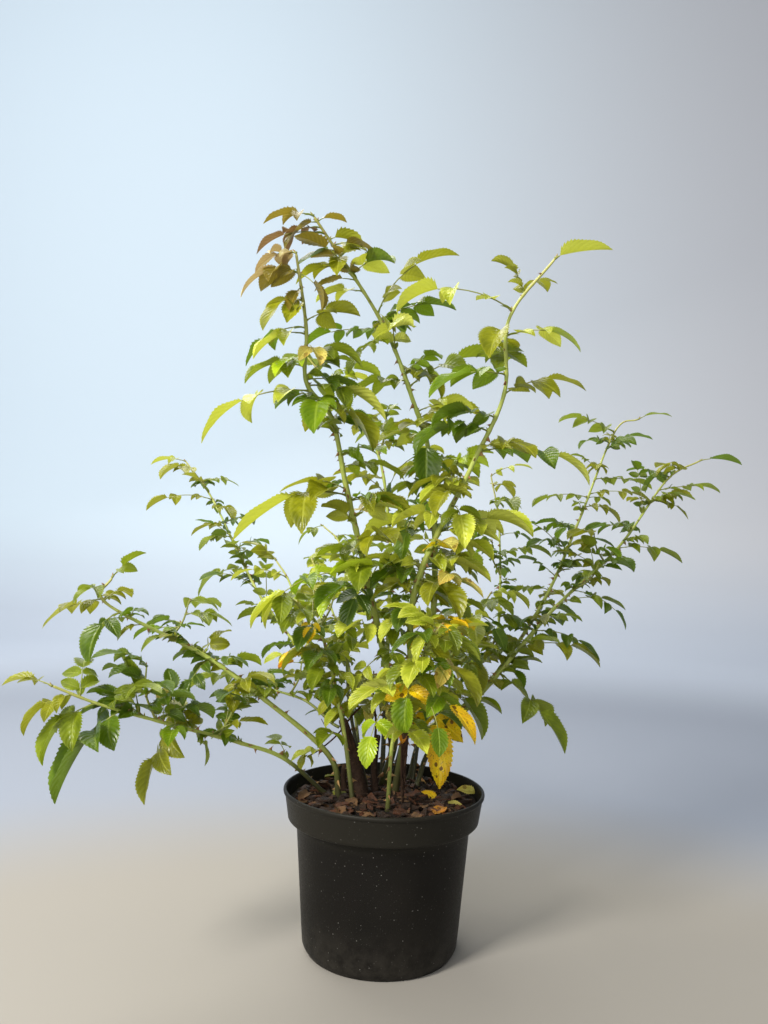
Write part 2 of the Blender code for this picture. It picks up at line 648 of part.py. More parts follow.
def grow_mass(name, course, obstacles):
    """Build one mass clear of everything else and return the search trees of its own pieces."""
    leaves, sprays = mass_plan(name, course)
    parts = []
    twigs = []
    grown = []
    for shoot, tip_leaves in sprays:
        body = tree_of([shoot_shape(shoot, MARGIN)])
        if any(body.overlap(tree) for tree in obstacles):
            continue
        twigs.append(body)
        parts.append(shoot_shape(shoot))
        leaves = leaves + tip_leaves
    for leaf in leaves:
        moved, body = settle(leaf, obstacles + grown)
        if moved:
            grown.append(body)
            parts.append(leaf_shape(moved))
    mass = new_object("leaves_" + name, stem_shape(name, course))
    combine(mass, [new_object("piece_%d" % k, part) for k, part in enumerate(parts)],
            "UNION", "MANIFOLD")
    keep_largest_body(mass)
    paint(mass, LEAF_GREEN, 0.55)
    return grown + twigs


def build():
    for item in list(bpy.data.objects):
        bpy.data.objects.remove(item)
    courses = {name: cane_course(name) for name in CANES}
    solids = [build_pot(), build_soil()]
    solids += [build_stump(name) for name in STUMPS]
    solids += [build_bough(name, courses[name]) for name in CANES]
    fixed = [tree_of_object(item) for item in solids]
    stems = {name: tree_of([stem_shape(name, courses[name], MARGIN)]) for name in CANES}
    grown = []
    for name in CANES:
        others = [stems[other] for other in CANES if other != name]
        grown += grow_mass(name, courses[name], fixed + others + grown)


build()
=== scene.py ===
import bisect
import math
import random

import bmesh
import bpy
import numpy as np
from mathutils import Matrix, Vector


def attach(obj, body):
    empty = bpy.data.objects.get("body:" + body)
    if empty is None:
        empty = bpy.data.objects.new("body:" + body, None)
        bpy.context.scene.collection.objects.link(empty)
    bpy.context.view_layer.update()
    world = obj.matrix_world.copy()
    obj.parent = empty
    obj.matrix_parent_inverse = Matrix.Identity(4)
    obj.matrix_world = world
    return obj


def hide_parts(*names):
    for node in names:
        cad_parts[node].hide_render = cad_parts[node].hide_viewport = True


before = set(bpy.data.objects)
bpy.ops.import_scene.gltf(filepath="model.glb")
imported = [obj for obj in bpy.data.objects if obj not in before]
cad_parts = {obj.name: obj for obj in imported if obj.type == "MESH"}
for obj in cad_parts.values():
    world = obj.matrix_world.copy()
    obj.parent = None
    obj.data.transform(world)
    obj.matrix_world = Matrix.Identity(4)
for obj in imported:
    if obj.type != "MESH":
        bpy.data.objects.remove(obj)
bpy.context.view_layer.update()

# Heights and radii that the canes, soil and pot share, in metres
GAP = 0.0003                 # clear space between neighbouring solids
POT_HEIGHT = 0.175
RIM_RADIUS = 0.1125
COLLAR_HEIGHT = 0.033
COLLAR_FOOT_RADIUS = 0.1065
COLLAR_FOOT = POT_HEIGHT - COLLAR_HEIGHT
WALL_TOP_RADIUS = 0.0970
WALL_FOOT_RADIUS = 0.0868
BASE_RADIUS = 0.0820
POT_WALL = 0.0020
FLOOR_THICKNESS = 0.0030
POT_STEPS = 144              # faces round the pot
DRAIN_HOLES = 8
DRAIN_RADIUS = 0.0055
DRAIN_RING_RADIUS = 0.0600   # how far from the axis the drain holes' middles lie
SOIL_LEVEL = 0.1600
SOIL_RADIUS = 0.1040
SOIL_SKIRT_FOOT = 0.1500     # how low the soil's edge is turned down
FOOT_LEVEL = SOIL_LEVEL + GAP
ROOT_DEPTH = 0.004           # how far limbs run on below the soil's level

MM = 1000                    # millimetres in a metre

# How leaves spring from a cane
SPIRAL = 137.5               # degrees between one bud and the next
LEAST_STALK = 0.60           # of a compound leaf, as a share of its end leaflet
LONG_STALK = 0.55            # a set leaf with a longer one has a second pair
JOINTS = ((), (0.72,), (0.76, 0.27), (0.82, 0.52, 0.22))    # where pairs sit on a stalk
SHOOT_LEAVES = ((0.30, 110), (0.5, 75), (0.72, -80), (1.0, -15))   # place, turn

# Old wood: knees, foot radius, top radius
STUMPS = {
    "stump_left": ([(-0.025, 0.010, FOOT_LEVEL), (-0.034, 0.012, 0.200), (-0.050, 0.014, 0.246)],
                   0.0085, 0.0052),
    "stump_middle": ([(-0.010, 0.022, FOOT_LEVEL), (-0.012, 0.022, 0.195), (-0.009, 0.020, 0.228)],
                     0.0042, 0.0034),
    "stump_dead": ([(0.021, -0.012, FOOT_LEVEL), (0.020, -0.018, 0.200), (0.021, -0.026, 0.242)],
                   0.0020, 0.0048),
}

# Shoots on a stump's cut top: stump, bearing and distance from its middle
FORKS = {
    "left_back": ("stump_left", 120, 0.0026),
    "left_inner": ("stump_left", -60, 0.0026),
}
FORK_RUN = 0.022             # how far such a shoot runs straight on

# Shoots on a stump's flank: stump, place on it, bearing, lift
SPRIGS = {
    "left_thin": ("stump_left", 0.84, 165, 25),
}

# Canes: knees, foot radius, tip radius, where the leaves start, bud spacing, leaflet length, seed
CANES = {
    "left_low": ([(-0.064, 0.010, FOOT_LEVEL), (-0.110, -0.020, 0.207), (-0.155, -0.050, 0.230),
                  (-0.225, -0.110, 0.262), (-0.275, -0.150, 0.285), (-0.315, -0.170, 0.305)],
                 0.0026, 0.0012, 0.40, 0.034, 0.038, 11),
    "left_mid": ([(-0.050, -0.003, FOOT_LEVEL), (-0.062, -0.018, 0.212), (-0.130, -0.050, 0.276),
                  (-0.195, -0.070, 0.325), (-0.290, -0.100, 0.378), (-0.285, -0.100, 0.405)],
                 0.0034, 0.0012, 0.42, 0.030, 0.034, 12),
    "left_thin": ([(-0.095, 0.030, 0.263), (-0.140, 0.050, 0.272), (-0.185, 0.070, 0.282)],
                  0.0018, 0.0010, 0.36, 0.028, 0.034, 13),
    "left_back": ([(-0.098, 0.074, 0.306), (-0.170, 0.140, 0.380),
                   (-0.245, 0.200, 0.500), (-0.290, 0.220, 0.555)],
                  0.0022, 0.0011, 0.24, 0.033, 0.032, 14),
    "left_inner": ([(-0.086, 0.006, 0.315), (-0.115, 0.020, 0.395),
                    (-0.135, 0.030, 0.425)],
                   0.0020, 0.0010, 0.30, 0.032, 0.034, 15),
    "left_front": ([(-0.034, -0.016, FOOT_LEVEL), (-0.050, -0.026, 0.258), (-0.075, -0.060, 0.355),
                    (-0.110, -0.100, 0.395)],
                   0.0026, 0.0012, 0.42, 0.032, 0.038, 16),
    "middle_thin": ([(-0.020, 0.047, FOOT_LEVEL), (-0.045, 0.062, 0.260), (-0.055, 0.110, 0.390),
                     (-0.065, 0.130, 0.445), (-0.090, 0.150, 0.470)],
                    0.0024, 0.0010, 0.24, 0.034, 0.034, 17),
    "middle_back": ([(-0.002, 0.088, FOOT_LEVEL), (0.000, 0.110, 0.380), (-0.005, 0.130, 0.485),
                     (-0.030, 0.130, 0.585), (-0.115, 0.120, 0.685)],
                    0.0032, 0.0012, 0.32, 0.036, 0.038, 18),
    "tall_left": ([(-0.002, 0.052, FOOT_LEVEL), (0.010, 0.002, 0.250), (-0.025, -0.060, 0.405),
                   (-0.050, -0.100, 0.505), (-0.065, -0.130, 0.570), (-0.090, -0.150, 0.602),
                   (-0.090, -0.170, 0.650), (-0.100, -0.190, 0.715)],
                  0.0048, 0.0012, 0.30, 0.034, 0.042, 19),
    "tall_middle": ([(0.012, 0.074, FOOT_LEVEL), (0.035, 0.020, 0.285), (0.050, 0.008, 0.380),
                     (0.040, -0.040, 0.530), (0.015, -0.070, 0.605), (-0.020, -0.090, 0.680),
                     (-0.090, -0.140, 0.770)],
                    0.0048, 0.0012, 0.32, 0.036, 0.042, 20),
    "tall_right": ([(0.012, 0.022, FOOT_LEVEL), (0.025, -0.020, 0.275), (0.025, -0.070, 0.400),
                    (0.075, -0.110, 0.525), (0.105, -0.130, 0.600), (0.105, -0.150, 0.670),
                    (0.145, -0.170, 0.725)],
                   0.0044, 0.0012, 0.28, 0.036, 0.042, 21),
    "right_back": ([(0.030, 0.078, FOOT_LEVEL), (0.050, 0.104, 0.215), (0.125, 0.140, 0.265),
                    (0.208, 0.190, 0.375), (0.264, 0.230, 0.490), (0.325, 0.280, 0.625),
                    (0.360, 0.280, 0.645)],
                   0.0032, 0.0011, 0.26, 0.033, 0.034, 22),
    "right_far": ([(0.038, 0.052, FOOT_LEVEL), (0.058, 0.078, 0.205), (0.120, 0.110, 0.265),
                   (0.215, 0.150, 0.370), (0.310, 0.190, 0.455), (0.380, 0.210, 0.550),
                   (0.430, 0.220, 0.580)],
                  0.0032, 0.0011, 0.24, 0.034, 0.036, 23),
    "right_thin": ([(0.010, 0.096, FOOT_LEVEL), (0.036, 0.122, 0.215), (0.135, 0.172, 0.310),
                    (0.150, 0.190, 0.380), (0.150, 0.220, 0.485), (0.140, 0.240, 0.550)],
                   0.0024, 0.0010, 0.34, 0.033, 0.032, 24),
    "front_short": ([(0.004, -0.040, FOOT_LEVEL), (0.008, -0.066, 0.250), (0.030, -0.115, 0.330),
                     (0.048, -0.150, 0.372)],
                    0.0024, 0.0010, 0.36, 0.036, 0.038, 26),
    "back_short": ([(-0.026, 0.080, FOOT_LEVEL), (-0.050, 0.140, 0.290), (-0.085, 0.205, 0.375),
                    (-0.112, 0.250, 0.425)],
                   0.0024, 0.0010, 0.36, 0.038, 0.036, 27),
    "right_inner": ([(0.034, 0.066, FOOT_LEVEL), (0.050, 0.090, 0.260), (0.080, 0.110, 0.310),
                     (0.135, 0.160, 0.390)],
                    0.0022, 0.0010, 0.26, 0.034, 0.036, 25),
}

# Leaves that give the bush its outline: place on the cane, bearing, lift, droop, reach (mm),
# end leaflet (mm), pairs of side leaflets, tint or end tint/side tint
SET_LEAVES = {
    "left_low": [(1.00, 180, 25, 40, 48, 36, 1, "olive"), (0.94, 200, -10, 50, 58, 34, 2, "olive"),
                 (0.87, 210, -10, 70, 76, 52, 1, "mid"), (0.80, 215, -30, 50, 100, 62, 1, "rich"),
                 (0.63, 215, -60, 20, 80, 44, 2, "olive"), (0.76, 175, 60, 70, 54, 40, 1, "rich")],
    "left_mid": [(1.00, -10, 50, 20, 44, 34, 1, "mid"), (0.97, 230, 0, 40, 40, 28, 1, "mid"),
                 (0.93, 190, -5, 40, 66, 34, 1, "olive"), (0.87, 235, -10, 80, 66, 48, 1, "rich"),
                 (0.62, 55, 65, 60, 48, 34, 1, "olive")],
    "left_thin": [(0.95, 200, 20, 60, 68, 34, 2, "mid")],
    "left_back": [(1.00, 195, 15, 40, 48, 32, 1, "fresh"), (0.84, 200, 20, 60, 94, 32, 2, "olive"),
                  (0.70, 220, 20, 80, 54, 28, 1, "mid"), (0.58, 210, 15, 80, 80, 34, 1, "mid")],
    "left_inner": [(1.00, 165, 50, 50, 50, 30, 2, "olive")],
    "left_front": [(0.97, 205, 0, 70, 52, 42, 0, "fresh"), (0.86, 245, 20, 80, 54, 40, 1, "mid")],
    "middle_thin": [(1.00, 190, -10, 50, 42, 28, 1, "mid")],
    "tall_left": [(1.00, 170, 10, 60, 46, 28, 1, "blush"), (0.97, 195, 20, 90, 66, 42, 1, "blush/bronze"),
                  (0.93, 220, 5, 90, 60, 44, 1, "olive"), (0.85, 5, 30, 70, 60, 42, 1, "mid"),
                  (0.83, 205, 15, 60, 66, 46, 1, "mid"), (0.79, 190, 5, 60, 124, 56, 2, "fresh"),
                  (0.77, -90, 5, 90, 66, 42, 1, "green"), (0.60, 195, 15, 80, 132, 72, 1, "fresh/olive"),
                  (0.47, 265, 20, 80, 62, 40, 1, "mid"), (0.42, 230, 30, 80, 88, 44, 1, "rich")],
    "tall_middle": [(1.00, 195, 10, 50, 52, 42, 1, "bronze"), (0.99, 30, 45, 70, 34, 26, 0, "bronze"),
                    (0.97, 195, 5, 50, 76, 34, 1, "plum"), (0.93, 75, 60, 60, 52, 30, 1, "olive"),
                    (0.90, -40, 35, 60, 58, 44, 1, "rich/fresh"), (0.83, -5, 75, 70, 112, 45, 2, "olive"),
                    (0.80, 165, 15, 40, 96, 34, 3, "rich"), (0.71, -5, 45, 50, 112, 52, 2, "mid"),
                    (0.62, 210, 25, 50, 62, 38, 2, "fresh"), (0.58, -100, 15, 70, 64, 46, 1, "green")],
    "tall_right": [(1.00, -15, 30, 60, 52, 50, 0, "fresh"), (0.93, 150, 80, 60, 54, 28, 1, "olive"),
                   (0.90, 185, 35, 70, 124, 46, 2, "fresh"), (0.87, 240, -5, 70, 56, 42, 0, "olive"),
                   (0.86, -20, 20, 60, 80, 36, 1, "vivid/fresh"), (0.80, 195, 10, 50, 88, 50, 1, "green"),
                   (0.77, 5, 35, 50, 88, 42, 2, "olive"), (0.67, 0, 15, 50, 124, 45, 3, "fresh/rich"),
                   (0.52, -20, 30, 50, 104, 50, 2, "fresh")],
    "right_back": [(1.00, 0, 30, 30, 50, 40, 0, "mid"), (0.93, 195, 30, 40, 94, 36, 1, "mid"),
                   (0.90, 10, 30, 40, 70, 38, 1, "rich"), (0.80, 10, 10, 30, 90, 34, 3, "mid"),
                   (0.75, 200, 15, 50, 94, 28, 2, "mid"), (0.63, 205, 20, 50, 74, 30, 2, "rich")],
    "right_far": [(1.00, 0, 15, 30, 58, 44, 0, "rich"), (0.91, 200, 25, 40, 72, 28, 2, "rich"),
                  (0.87, 5, 15, 20, 90, 36, 2, "mid"), (0.76, 200, 15, 40, 78, 34, 2, "rich"),
                  (0.70, -15, 15, 50, 88, 34, 2, "mid"), (0.50, -5, 30, 60, 92, 34, 2, "mid"),
                  (0.37, -20, 25, 60, 110, 44, 2, "olive")],
    "right_thin": [(1.00, -10, 40, 50, 62, 26, 1, "fresh")],
    "right_inner": [(0.40, -80, -20, 60, 126, 72, 1, "gold"),
                    (0.46, -40, -10, 50, 98, 52, 1, "mid/fresh")],
}

# More leaves in the thick of the crown, with the same columns as the set ones
MORE_LEAVES = {
    "tall_left": [(0.97, -20, -20, 70, 46, 28, 0, "bronze"), (0.95, 250, -30, 40, 36, 27, 0, "bronze"),
                  (0.92, 250, 10, 90, 44, 32, 0, "olive"), (0.90, 10, 40, 60, 54, 34, 1, "olive"),
                  (0.88, 205, 10, 80, 62, 38, 1, "fresh"), (0.86, -60, 0, 60, 42, 30, 1, "straw"),
                  (0.84, 235, 10, 70, 50, 36, 1, "vivid"), (0.81, 10, 15, 50, 60, 36, 1, "rich"),
                  (0.80, 0, 10, 60, 86, 48, 2, "fresh/mid"), (0.78, 215, 10, 60, 48, 32, 1, "rich"),
                  (0.76, -20, -5, 70, 74, 46, 2, "olive"), (0.73, 60, 30, 60, 62, 36, 2, "rich"),
                  (0.65, 10, 25, 60, 68, 36, 2, "mid"), (0.61, 202, 28, 60, 74, 50, 1, "olive"),
                  (0.59, -12, 20, 60, 68, 48, 1, "olive"), (0.50, 190, 20, 60, 54, 34, 2, "mid"),
                  (0.48, -30, 30, 100, 62, 36, 0, "rich"), (0.44, 60, 30, 60, 66, 34, 2, "mid")],
    "tall_middle": [(0.99, 200, -10, 70, 46, 40, 0, "bronze"), (0.98, 170, 10, 40, 42, 20, 1, "plum"),
                    (0.96, 0, 30, 80, 36, 30, 0, "olive"), (0.95, -10, 20, 60, 48, 34, 0, "bronze"),
                    (0.94, 205, 10, 90, 46, 36, 0, "rich"), (0.93, 265, -10, 70, 36, 30, 0, "olive"),
                    (0.91, 195, 10, 60, 60, 34, 1, "olive"), (0.89, 185, 10, 40, 46, 32, 0, "bronze"),
                    (0.87, 200, 5, 40, 54, 36, 1, "fresh"), (0.82, -10, 35, 50, 82, 36, 3, "rich"),
                    (0.81, 70, 40, 60, 72, 32, 3, "rich"), (0.79, 215, -10, 60, 70, 32, 3, "mid"),
                    (0.74, -30, 0, 60, 62, 36, 2, "olive"), (0.72, 190, 10, 50, 62, 34, 2, "mid"),
                    (0.67, -5, 30, 50, 64, 38, 1, "fresh"), (0.65, -60, 10, 50, 58, 38, 1, "fresh"),
                    (0.64, 240, 20, 60, 52, 34, 1, "olive"), (0.55, 200, 10, 60, 64, 32, 2, "mid"),
                    (0.48, -20, 20, 40, 82, 44, 2, "fresh/rich"), (0.47, 185, 10, 50, 62, 40, 1, "rich"),
                    (0.42, -40, 10, 60, 66, 38, 2, "mid"), (0.41, 210, 15, 60, 66, 38, 1, "olive")],
    "tall_right": [(0.95, 60, 40, 60, 44, 26, 1, "olive"), (0.73, 190, 20, 50, 70, 38, 2, "rich"),
                   (0.62, 190, 10, 50, 66, 36, 2, "olive"), (0.55, 200, 20, 60, 62, 40, 1, "fresh"),
                   (0.47, -20, 10, 50, 74, 44, 2, "fresh"), (0.45, 195, 10, 60, 60, 42, 1, "rich"),
                   (0.41, -40, 15, 60, 60, 40, 1, "mid"), (0.38, 250, 15, 70, 56, 38, 1, "rich"),
                   (0.35, -15, 20, 60, 66, 38, 2, "olive"), (0.33, 200, 20, 60, 60, 36, 2, "mid")],
    "front_short": [(0.95, 200, 10, 60, 52, 40, 1, "rich"), (0.90, -30, 15, 60, 56, 38, 1, "mid"),
                    (0.80, 250, 5, 60, 52, 36, 1, "fresh"), (0.70, -70, 20, 60, 54, 36, 1, "mid")],
    "left_front": [(0.90, 120, 30, 60, 52, 34, 1, "mid"), (0.78, 250, 10, 70, 54, 36, 1, "rich"),
                   (0.66, 200, 10, 60, 56, 34, 2, "olive")],
    "right_inner": [(0.95, -60, 10, 50, 60, 38, 2, "mid"), (0.80, -90, 10, 50, 74, 40, 2, "fresh"),
                    (0.65, -70, 0, 60, 90, 44, 2, "olive")],
}

# Leaves aimed at a place: place on the cane, tip, droop, end leaflet (mm), pairs, tint
AIMED_LEAVES = {
    "tall_left": [
        (0.21, (-0.022, -0.085, 0.218), 70, 33, 1, "vivid"),
        (0.50, (-0.041, -0.100, 0.410), 80, 24, 0, "fresh"),
        (0.45, (-0.132, -0.120, 0.365), 80, 42, 1, "fresh/green"),
        (0.44, (-0.070, -0.100, 0.371), 90, 38, 0, "vivid"),
        (0.43, (-0.046, -0.090, 0.358), 90, 36, 1, "blue"),
        (0.36, (-0.062, -0.060, 0.314), 70, 30, 1, "mid"),
        (0.30, (-0.038, -0.050, 0.280), 70, 30, 1, "fresh"),
        (0.33, (0.013, -0.070, 0.295), 70, 30, 1, "mid"),
        (0.26, (-0.056, -0.030, 0.269), 60, 28, 2, "olive"),
        (0.54, (-0.072, -0.120, 0.480), 80, 40, 1, "olive"),
        (0.56, (0.008, -0.120, 0.482), 60, 34, 1, "fresh"),
    ],
    "tall_middle": [
        (0.52, (0.010, -0.080, 0.430), 90, 32, 1, "green"),
        (0.64, (0.031, -0.100, 0.506), 100, 44, 0, "rich"),
        (0.60, (-0.006, -0.060, 0.491), 90, 24, 0, "rich"),
        (0.30, (0.022, -0.060, 0.338), 80, 24, 1, "gold"),
        (0.32, (0.073, -0.060, 0.347), 70, 24, 1, "gold"),
        (0.36, (0.086, -0.050, 0.369), 60, 34, 1, "mid"),
        (0.44, (0.083, -0.060, 0.418), 60, 34, 1, "olive"),
    ],
    "tall_right": [
        (0.42, (-0.017, -0.100, 0.392), 70, 32, 1, "olive"),
        (0.43, (0.067, -0.120, 0.375), 80, 44, 1, "olive"),
        (0.45, (0.091, -0.120, 0.398), 50, 32, 1, "straw"),
        (0.57, (0.068, -0.150, 0.446), 90, 38, 1, "fresh/mid"),
        (0.31, (0.059, -0.090, 0.323), 70, 34, 1, "olive"),
        (0.36, (-0.010, -0.090, 0.349), 70, 32, 1, "fresh"),
        (0.48, (0.060, -0.140, 0.449), 60, 38, 1, "straw/gold"),
        (0.62, (0.025, -0.130, 0.492), 70, 34, 1, "fresh"),
        (0.52, (0.106, -0.120, 0.455), 50, 40, 1, "fresh"),
    ],
    "front_short": [
        (0.72, (0.016, -0.135, 0.265), 80, 34, 1, "green/gold"),
        (0.62, (0.050, -0.155, 0.248), 110, 27, 0, "green"),
        (0.66, (0.088, -0.150, 0.264), 40, 44, 1, "gold/green"),
        (0.80, (0.090, -0.150, 0.300), 50, 40, 1, "olive/straw"),
        (0.78, (0.001, -0.140, 0.308), 70, 28, 1, "mid"),
        (0.80, (0.058, -0.145, 0.312), 70, 28, 1, "green"),
        (0.95, (0.024, -0.160, 0.339), 80, 32, 1, "fresh"),
        (1.00, (0.063, -0.170, 0.351), 60, 32, 1, "mid"),
        (0.60, (-0.016, -0.110, 0.279), 70, 28, 1, "fresh"),
        (0.45, (0.042, -0.100, 0.256), 60, 26, 1, "mid"),
    ],
    "left_front": [
        (0.80, (-0.083, -0.100, 0.344), 80, 20, 1, "gold"),
        (1.00, (-0.109, -0.130, 0.365), 60, 36, 0, "mid"),
        (0.60, (-0.079, -0.080, 0.294), 60, 28, 1, "mid"),
        (0.55, (-0.038, -0.070, 0.294), 60, 26, 1, "fresh"),
        (0.45, (-0.072, -0.050, 0.262), 60, 24, 2, "olive"),
    ],
    "left_inner": [
        (0.20, (-0.121, -0.030, 0.309), 90, 20, 0, "rust"),
    ],
    "left_low": [
        (0.78, (-0.294, -0.120, 0.293), 60, 36, 1, "rich"),
        (0.74, (-0.266, -0.120, 0.329), 30, 34, 1, "mid"),
        (0.72, (-0.285, -0.140, 0.283), 60, 44, 1, "rich"),
        (0.68, (-0.247, -0.140, 0.271), 150, 36, 0, "blue"),
        (0.62, (-0.229, -0.080, 0.312), 40, 26, 1, "rich"),
        (0.66, (-0.234, -0.090, 0.290), 90, 24, 1, "straw/mid"),
        (0.45, (-0.162, -0.050, 0.270), 60, 24, 2, "mid"),
        (0.55, (-0.187, -0.080, 0.213), 70, 22, 2, "mid"),
    ],
    "left_mid": [
        (0.66, (-0.239, -0.090, 0.341), 110, 32, 1, "rich"),
        (0.72, (-0.250, -0.100, 0.330), 110, 26, 0, "mid"),
        (0.60, (-0.209, -0.090, 0.275), 60, 28, 2, "rich"),
        (0.56, (-0.135, -0.060, 0.320), 50, 28, 2, "mid"),
        (0.64, (-0.205, -0.080, 0.326), 100, 28, 1, "rich"),
        (0.80, (-0.276, -0.100, 0.341), 80, 24, 1, "olive"),
        (0.50, (-0.161, -0.080, 0.269), 70, 26, 1, "olive"),
    ],
    "right_back": [
        (0.90, (0.262, 0.240, 0.597), 50, 22, 3, "rich"),
        (0.76, (0.357, 0.200, 0.521), 40, 30, 2, "olive"),
        (0.60, (0.170, 0.160, 0.486), 50, 28, 2, "rich"),
        (0.55, (0.266, 0.170, 0.436), 60, 26, 2, "mid"),
    ],
    "right_far": [
        (0.80, (0.322, 0.170, 0.575), 50, 22, 3, "rich"),
        (0.84, (0.407, 0.180, 0.530), 40, 30, 2, "olive"),
        (0.62, (0.251, 0.140, 0.469), 50, 30, 2, "mid"),
        (0.55, (0.308, 0.130, 0.351), 60, 28, 2, "rich"),
        (0.42, (0.265, 0.100, 0.313), 60, 36, 2, "rich"),
        (0.34, (0.208, 0.070, 0.339), 60, 34, 2, "mid"),
        (0.30, (0.213, 0.040, 0.213), 30, 56, 2, "mid"),
    ],
    "right_inner": [
        (0.85, (0.143, 0.080, 0.323), 60, 34, 2, "rich"),
        (0.70, (0.097, 0.030, 0.281), 70, 34, 2, "mid"),
    ],
    "left_back": [
        (0.50, (-0.238, 0.100, 0.396), 80, 30, 1, "rich"),
        (0.45, (-0.155, 0.080, 0.424), 60, 28, 2, "mid"),
        (0.60, (-0.251, 0.120, 0.471), 80, 26, 1, "rich"),
    ],
}


# ---- Lines and leaves: the rule that the plant grows by ----

class Course:
    """A smooth line through a limb's knees, measured along its length."""

    RUNS = 12                # short straight runs from one knee to the next
    REACH = 0.004            # how far to each side a heading is taken, as a share

    def __init__(self, knees):
        points = [Vector(knee) for knee in knees]
        ends = [2 * points[0] - points[1]] + points + [2 * points[-1] - points[-2]]
        line = []
        for a, b, c, d in zip(ends, ends[1:], ends[2:], ends[3:]):
            for k in range(self.RUNS):
                t = k / self.RUNS
                line.append(0.5 * (2 * b + (c - a) * t + (2 * a - 5 * b + 4 * c - d) * t ** 2
                                   + (3 * b - a - 3 * c + d) * t ** 3))
        self.line = line + [points[-1]]
        self.marks = [0.0]
        for a, b in zip(self.line, self.line[1:]):
            self.marks.append(self.marks[-1] + (b - a).length)
        self.length = self.marks[-1]

    def point(self, at):
        """The place at a share of the length."""
        run = max(0.0, min(1.0, at)) * self.length
        k = min(max(bisect.bisect_left(self.marks, run) - 1, 0), len(self.marks) - 2)
        part = (run - self.marks[k]) / (self.marks[k + 1] - self.marks[k])
        return self.line[k].lerp(self.line[k + 1], part)

    def heading(self, at):
        ahead = self.point(min(1.0, at + self.REACH))
        return (ahead - self.point(max(0.0, at - self.REACH))).normalized()


class Leaf:
    """One compound leaf: where its stalk springs, how it leads off and how large it is."""

    def __init__(self, origin, bearing, lift, droop, reach, size, pairs, tint):
        self.origin = origin
        self.bearing = bearing
        self.lift = lift
        self.droop = droop
        self.reach = reach
        self.size = min(size, reach / (1.1 if pairs == 0 else 1 + LEAST_STALK))
        self.pairs = pairs
        self.tint = tint


def heading_of(bearing, lift):
    """The direction at a bearing and a lift above level, in degrees."""
    flat = math.cos(math.radians(lift))
    return Vector((flat * math.cos(math.radians(bearing)), flat * math.sin(math.radians(bearing)),
                   math.sin(math.radians(lift))))


def right_of(bearing):
    """The level direction to the right of a bearing."""
    return Vector((math.sin(math.radians(bearing)), -math.cos(math.radians(bearing)), 0))


def limb_radius(name, at):
    """A cane's bare radius at a share of its length."""
    foot, tip = CANES[name][1:3]
    return foot + (tip - foot) * at ** 1.05


def cane_course(name):
    """A cane's line; one that springs from a stump starts just clear of it."""
    knees = [Vector(knee) for knee in CANES[name][0]]
    if name in FORKS:
        stump, bearing, offset = FORKS[name]
        wood = Course(STUMPS[stump][0])
        along = wood.heading(1.0)
        aside = heading_of(bearing, 0)
        aside = (aside - along * aside.dot(along)).normalized() * offset
        start = wood.point(1.0) + along * GAP * 1.5 + aside
        knees = [start, start + along * FORK_RUN] + knees
    if name in SPRIGS:
        stump, place, bearing, lift = SPRIGS[name]
        line, foot, top = STUMPS[stump]
        wood = Course(line)
        away = heading_of(bearing, lift)
        along = wood.heading(place)
        clear = foot + (top - foot) * place - GAP + CANES[name][1] * away.dot(along)
        start = wood.point(place) + away * clear / away.cross(along).length
        knees = [start, start + away * FORK_RUN / 2] + knees
    return Course(knees)


def stalk_place(leaf, run):
    """The point and heading at a distance down a leaf's stalk, which bends evenly by its droop."""
    here = leaf.origin.copy()
    steps = 10
    for k in range(steps):
        part = run * (k + 0.5) / steps / leaf.reach
        here += heading_of(leaf.bearing, leaf.lift - leaf.droop * part) * run / steps
    return here, heading_of(leaf.bearing, leaf.lift - leaf.droop * run / leaf.reach)


def aimed_leaf(root, tip, droop, size, pairs, tint):
    """A leaf whose stalk and end leaflet bend evenly from its root to a chosen tip."""
    chord = tip - root
    bearing = math.degrees(math.atan2(chord.y, chord.x))
    lift = math.degrees(math.asin(chord.z / chord.length)) + droop / 2
    half = math.radians(droop / 2)
    return Leaf(root, bearing, lift, droop, chord.length * half / math.sin(half), size, pairs, tint)


def leaf_frame(leaf, ahead):
    """Right-hand and upward directions of a leaf at one place on its stalk."""
    across = right_of(leaf.bearing)
    return across, across.cross(ahead).normalized()


# ---- Small shapes that are copied and bent into place ----

def edges_along(bm, axis):
    """The edges of a unit shape that run from end to end of one axis."""
    return [edge for edge in bm.edges
            if abs(edge.verts[0].co[axis] - edge.verts[1].co[axis]) > 0.5]


def verts_of(geometry):
    """The vertices among what an operator gave back."""
    return [item for item in geometry if isinstance(item, bmesh.types.BMVert)]


def smoothed(bm):
    """The same bmesh with every face shaded smooth."""
    for face in bm.faces:
        face.smooth = True
    return bm


class Shape:
    """A small mesh made at unit size, kept with its vertices as an array."""

    def __init__(self, bm, name):
        self.mesh = bpy.data.meshes.new(name)
        bm.to_mesh(self.mesh)
        bm.free()
        self.points = np.array([vert.co for vert in self.mesh.vertices])


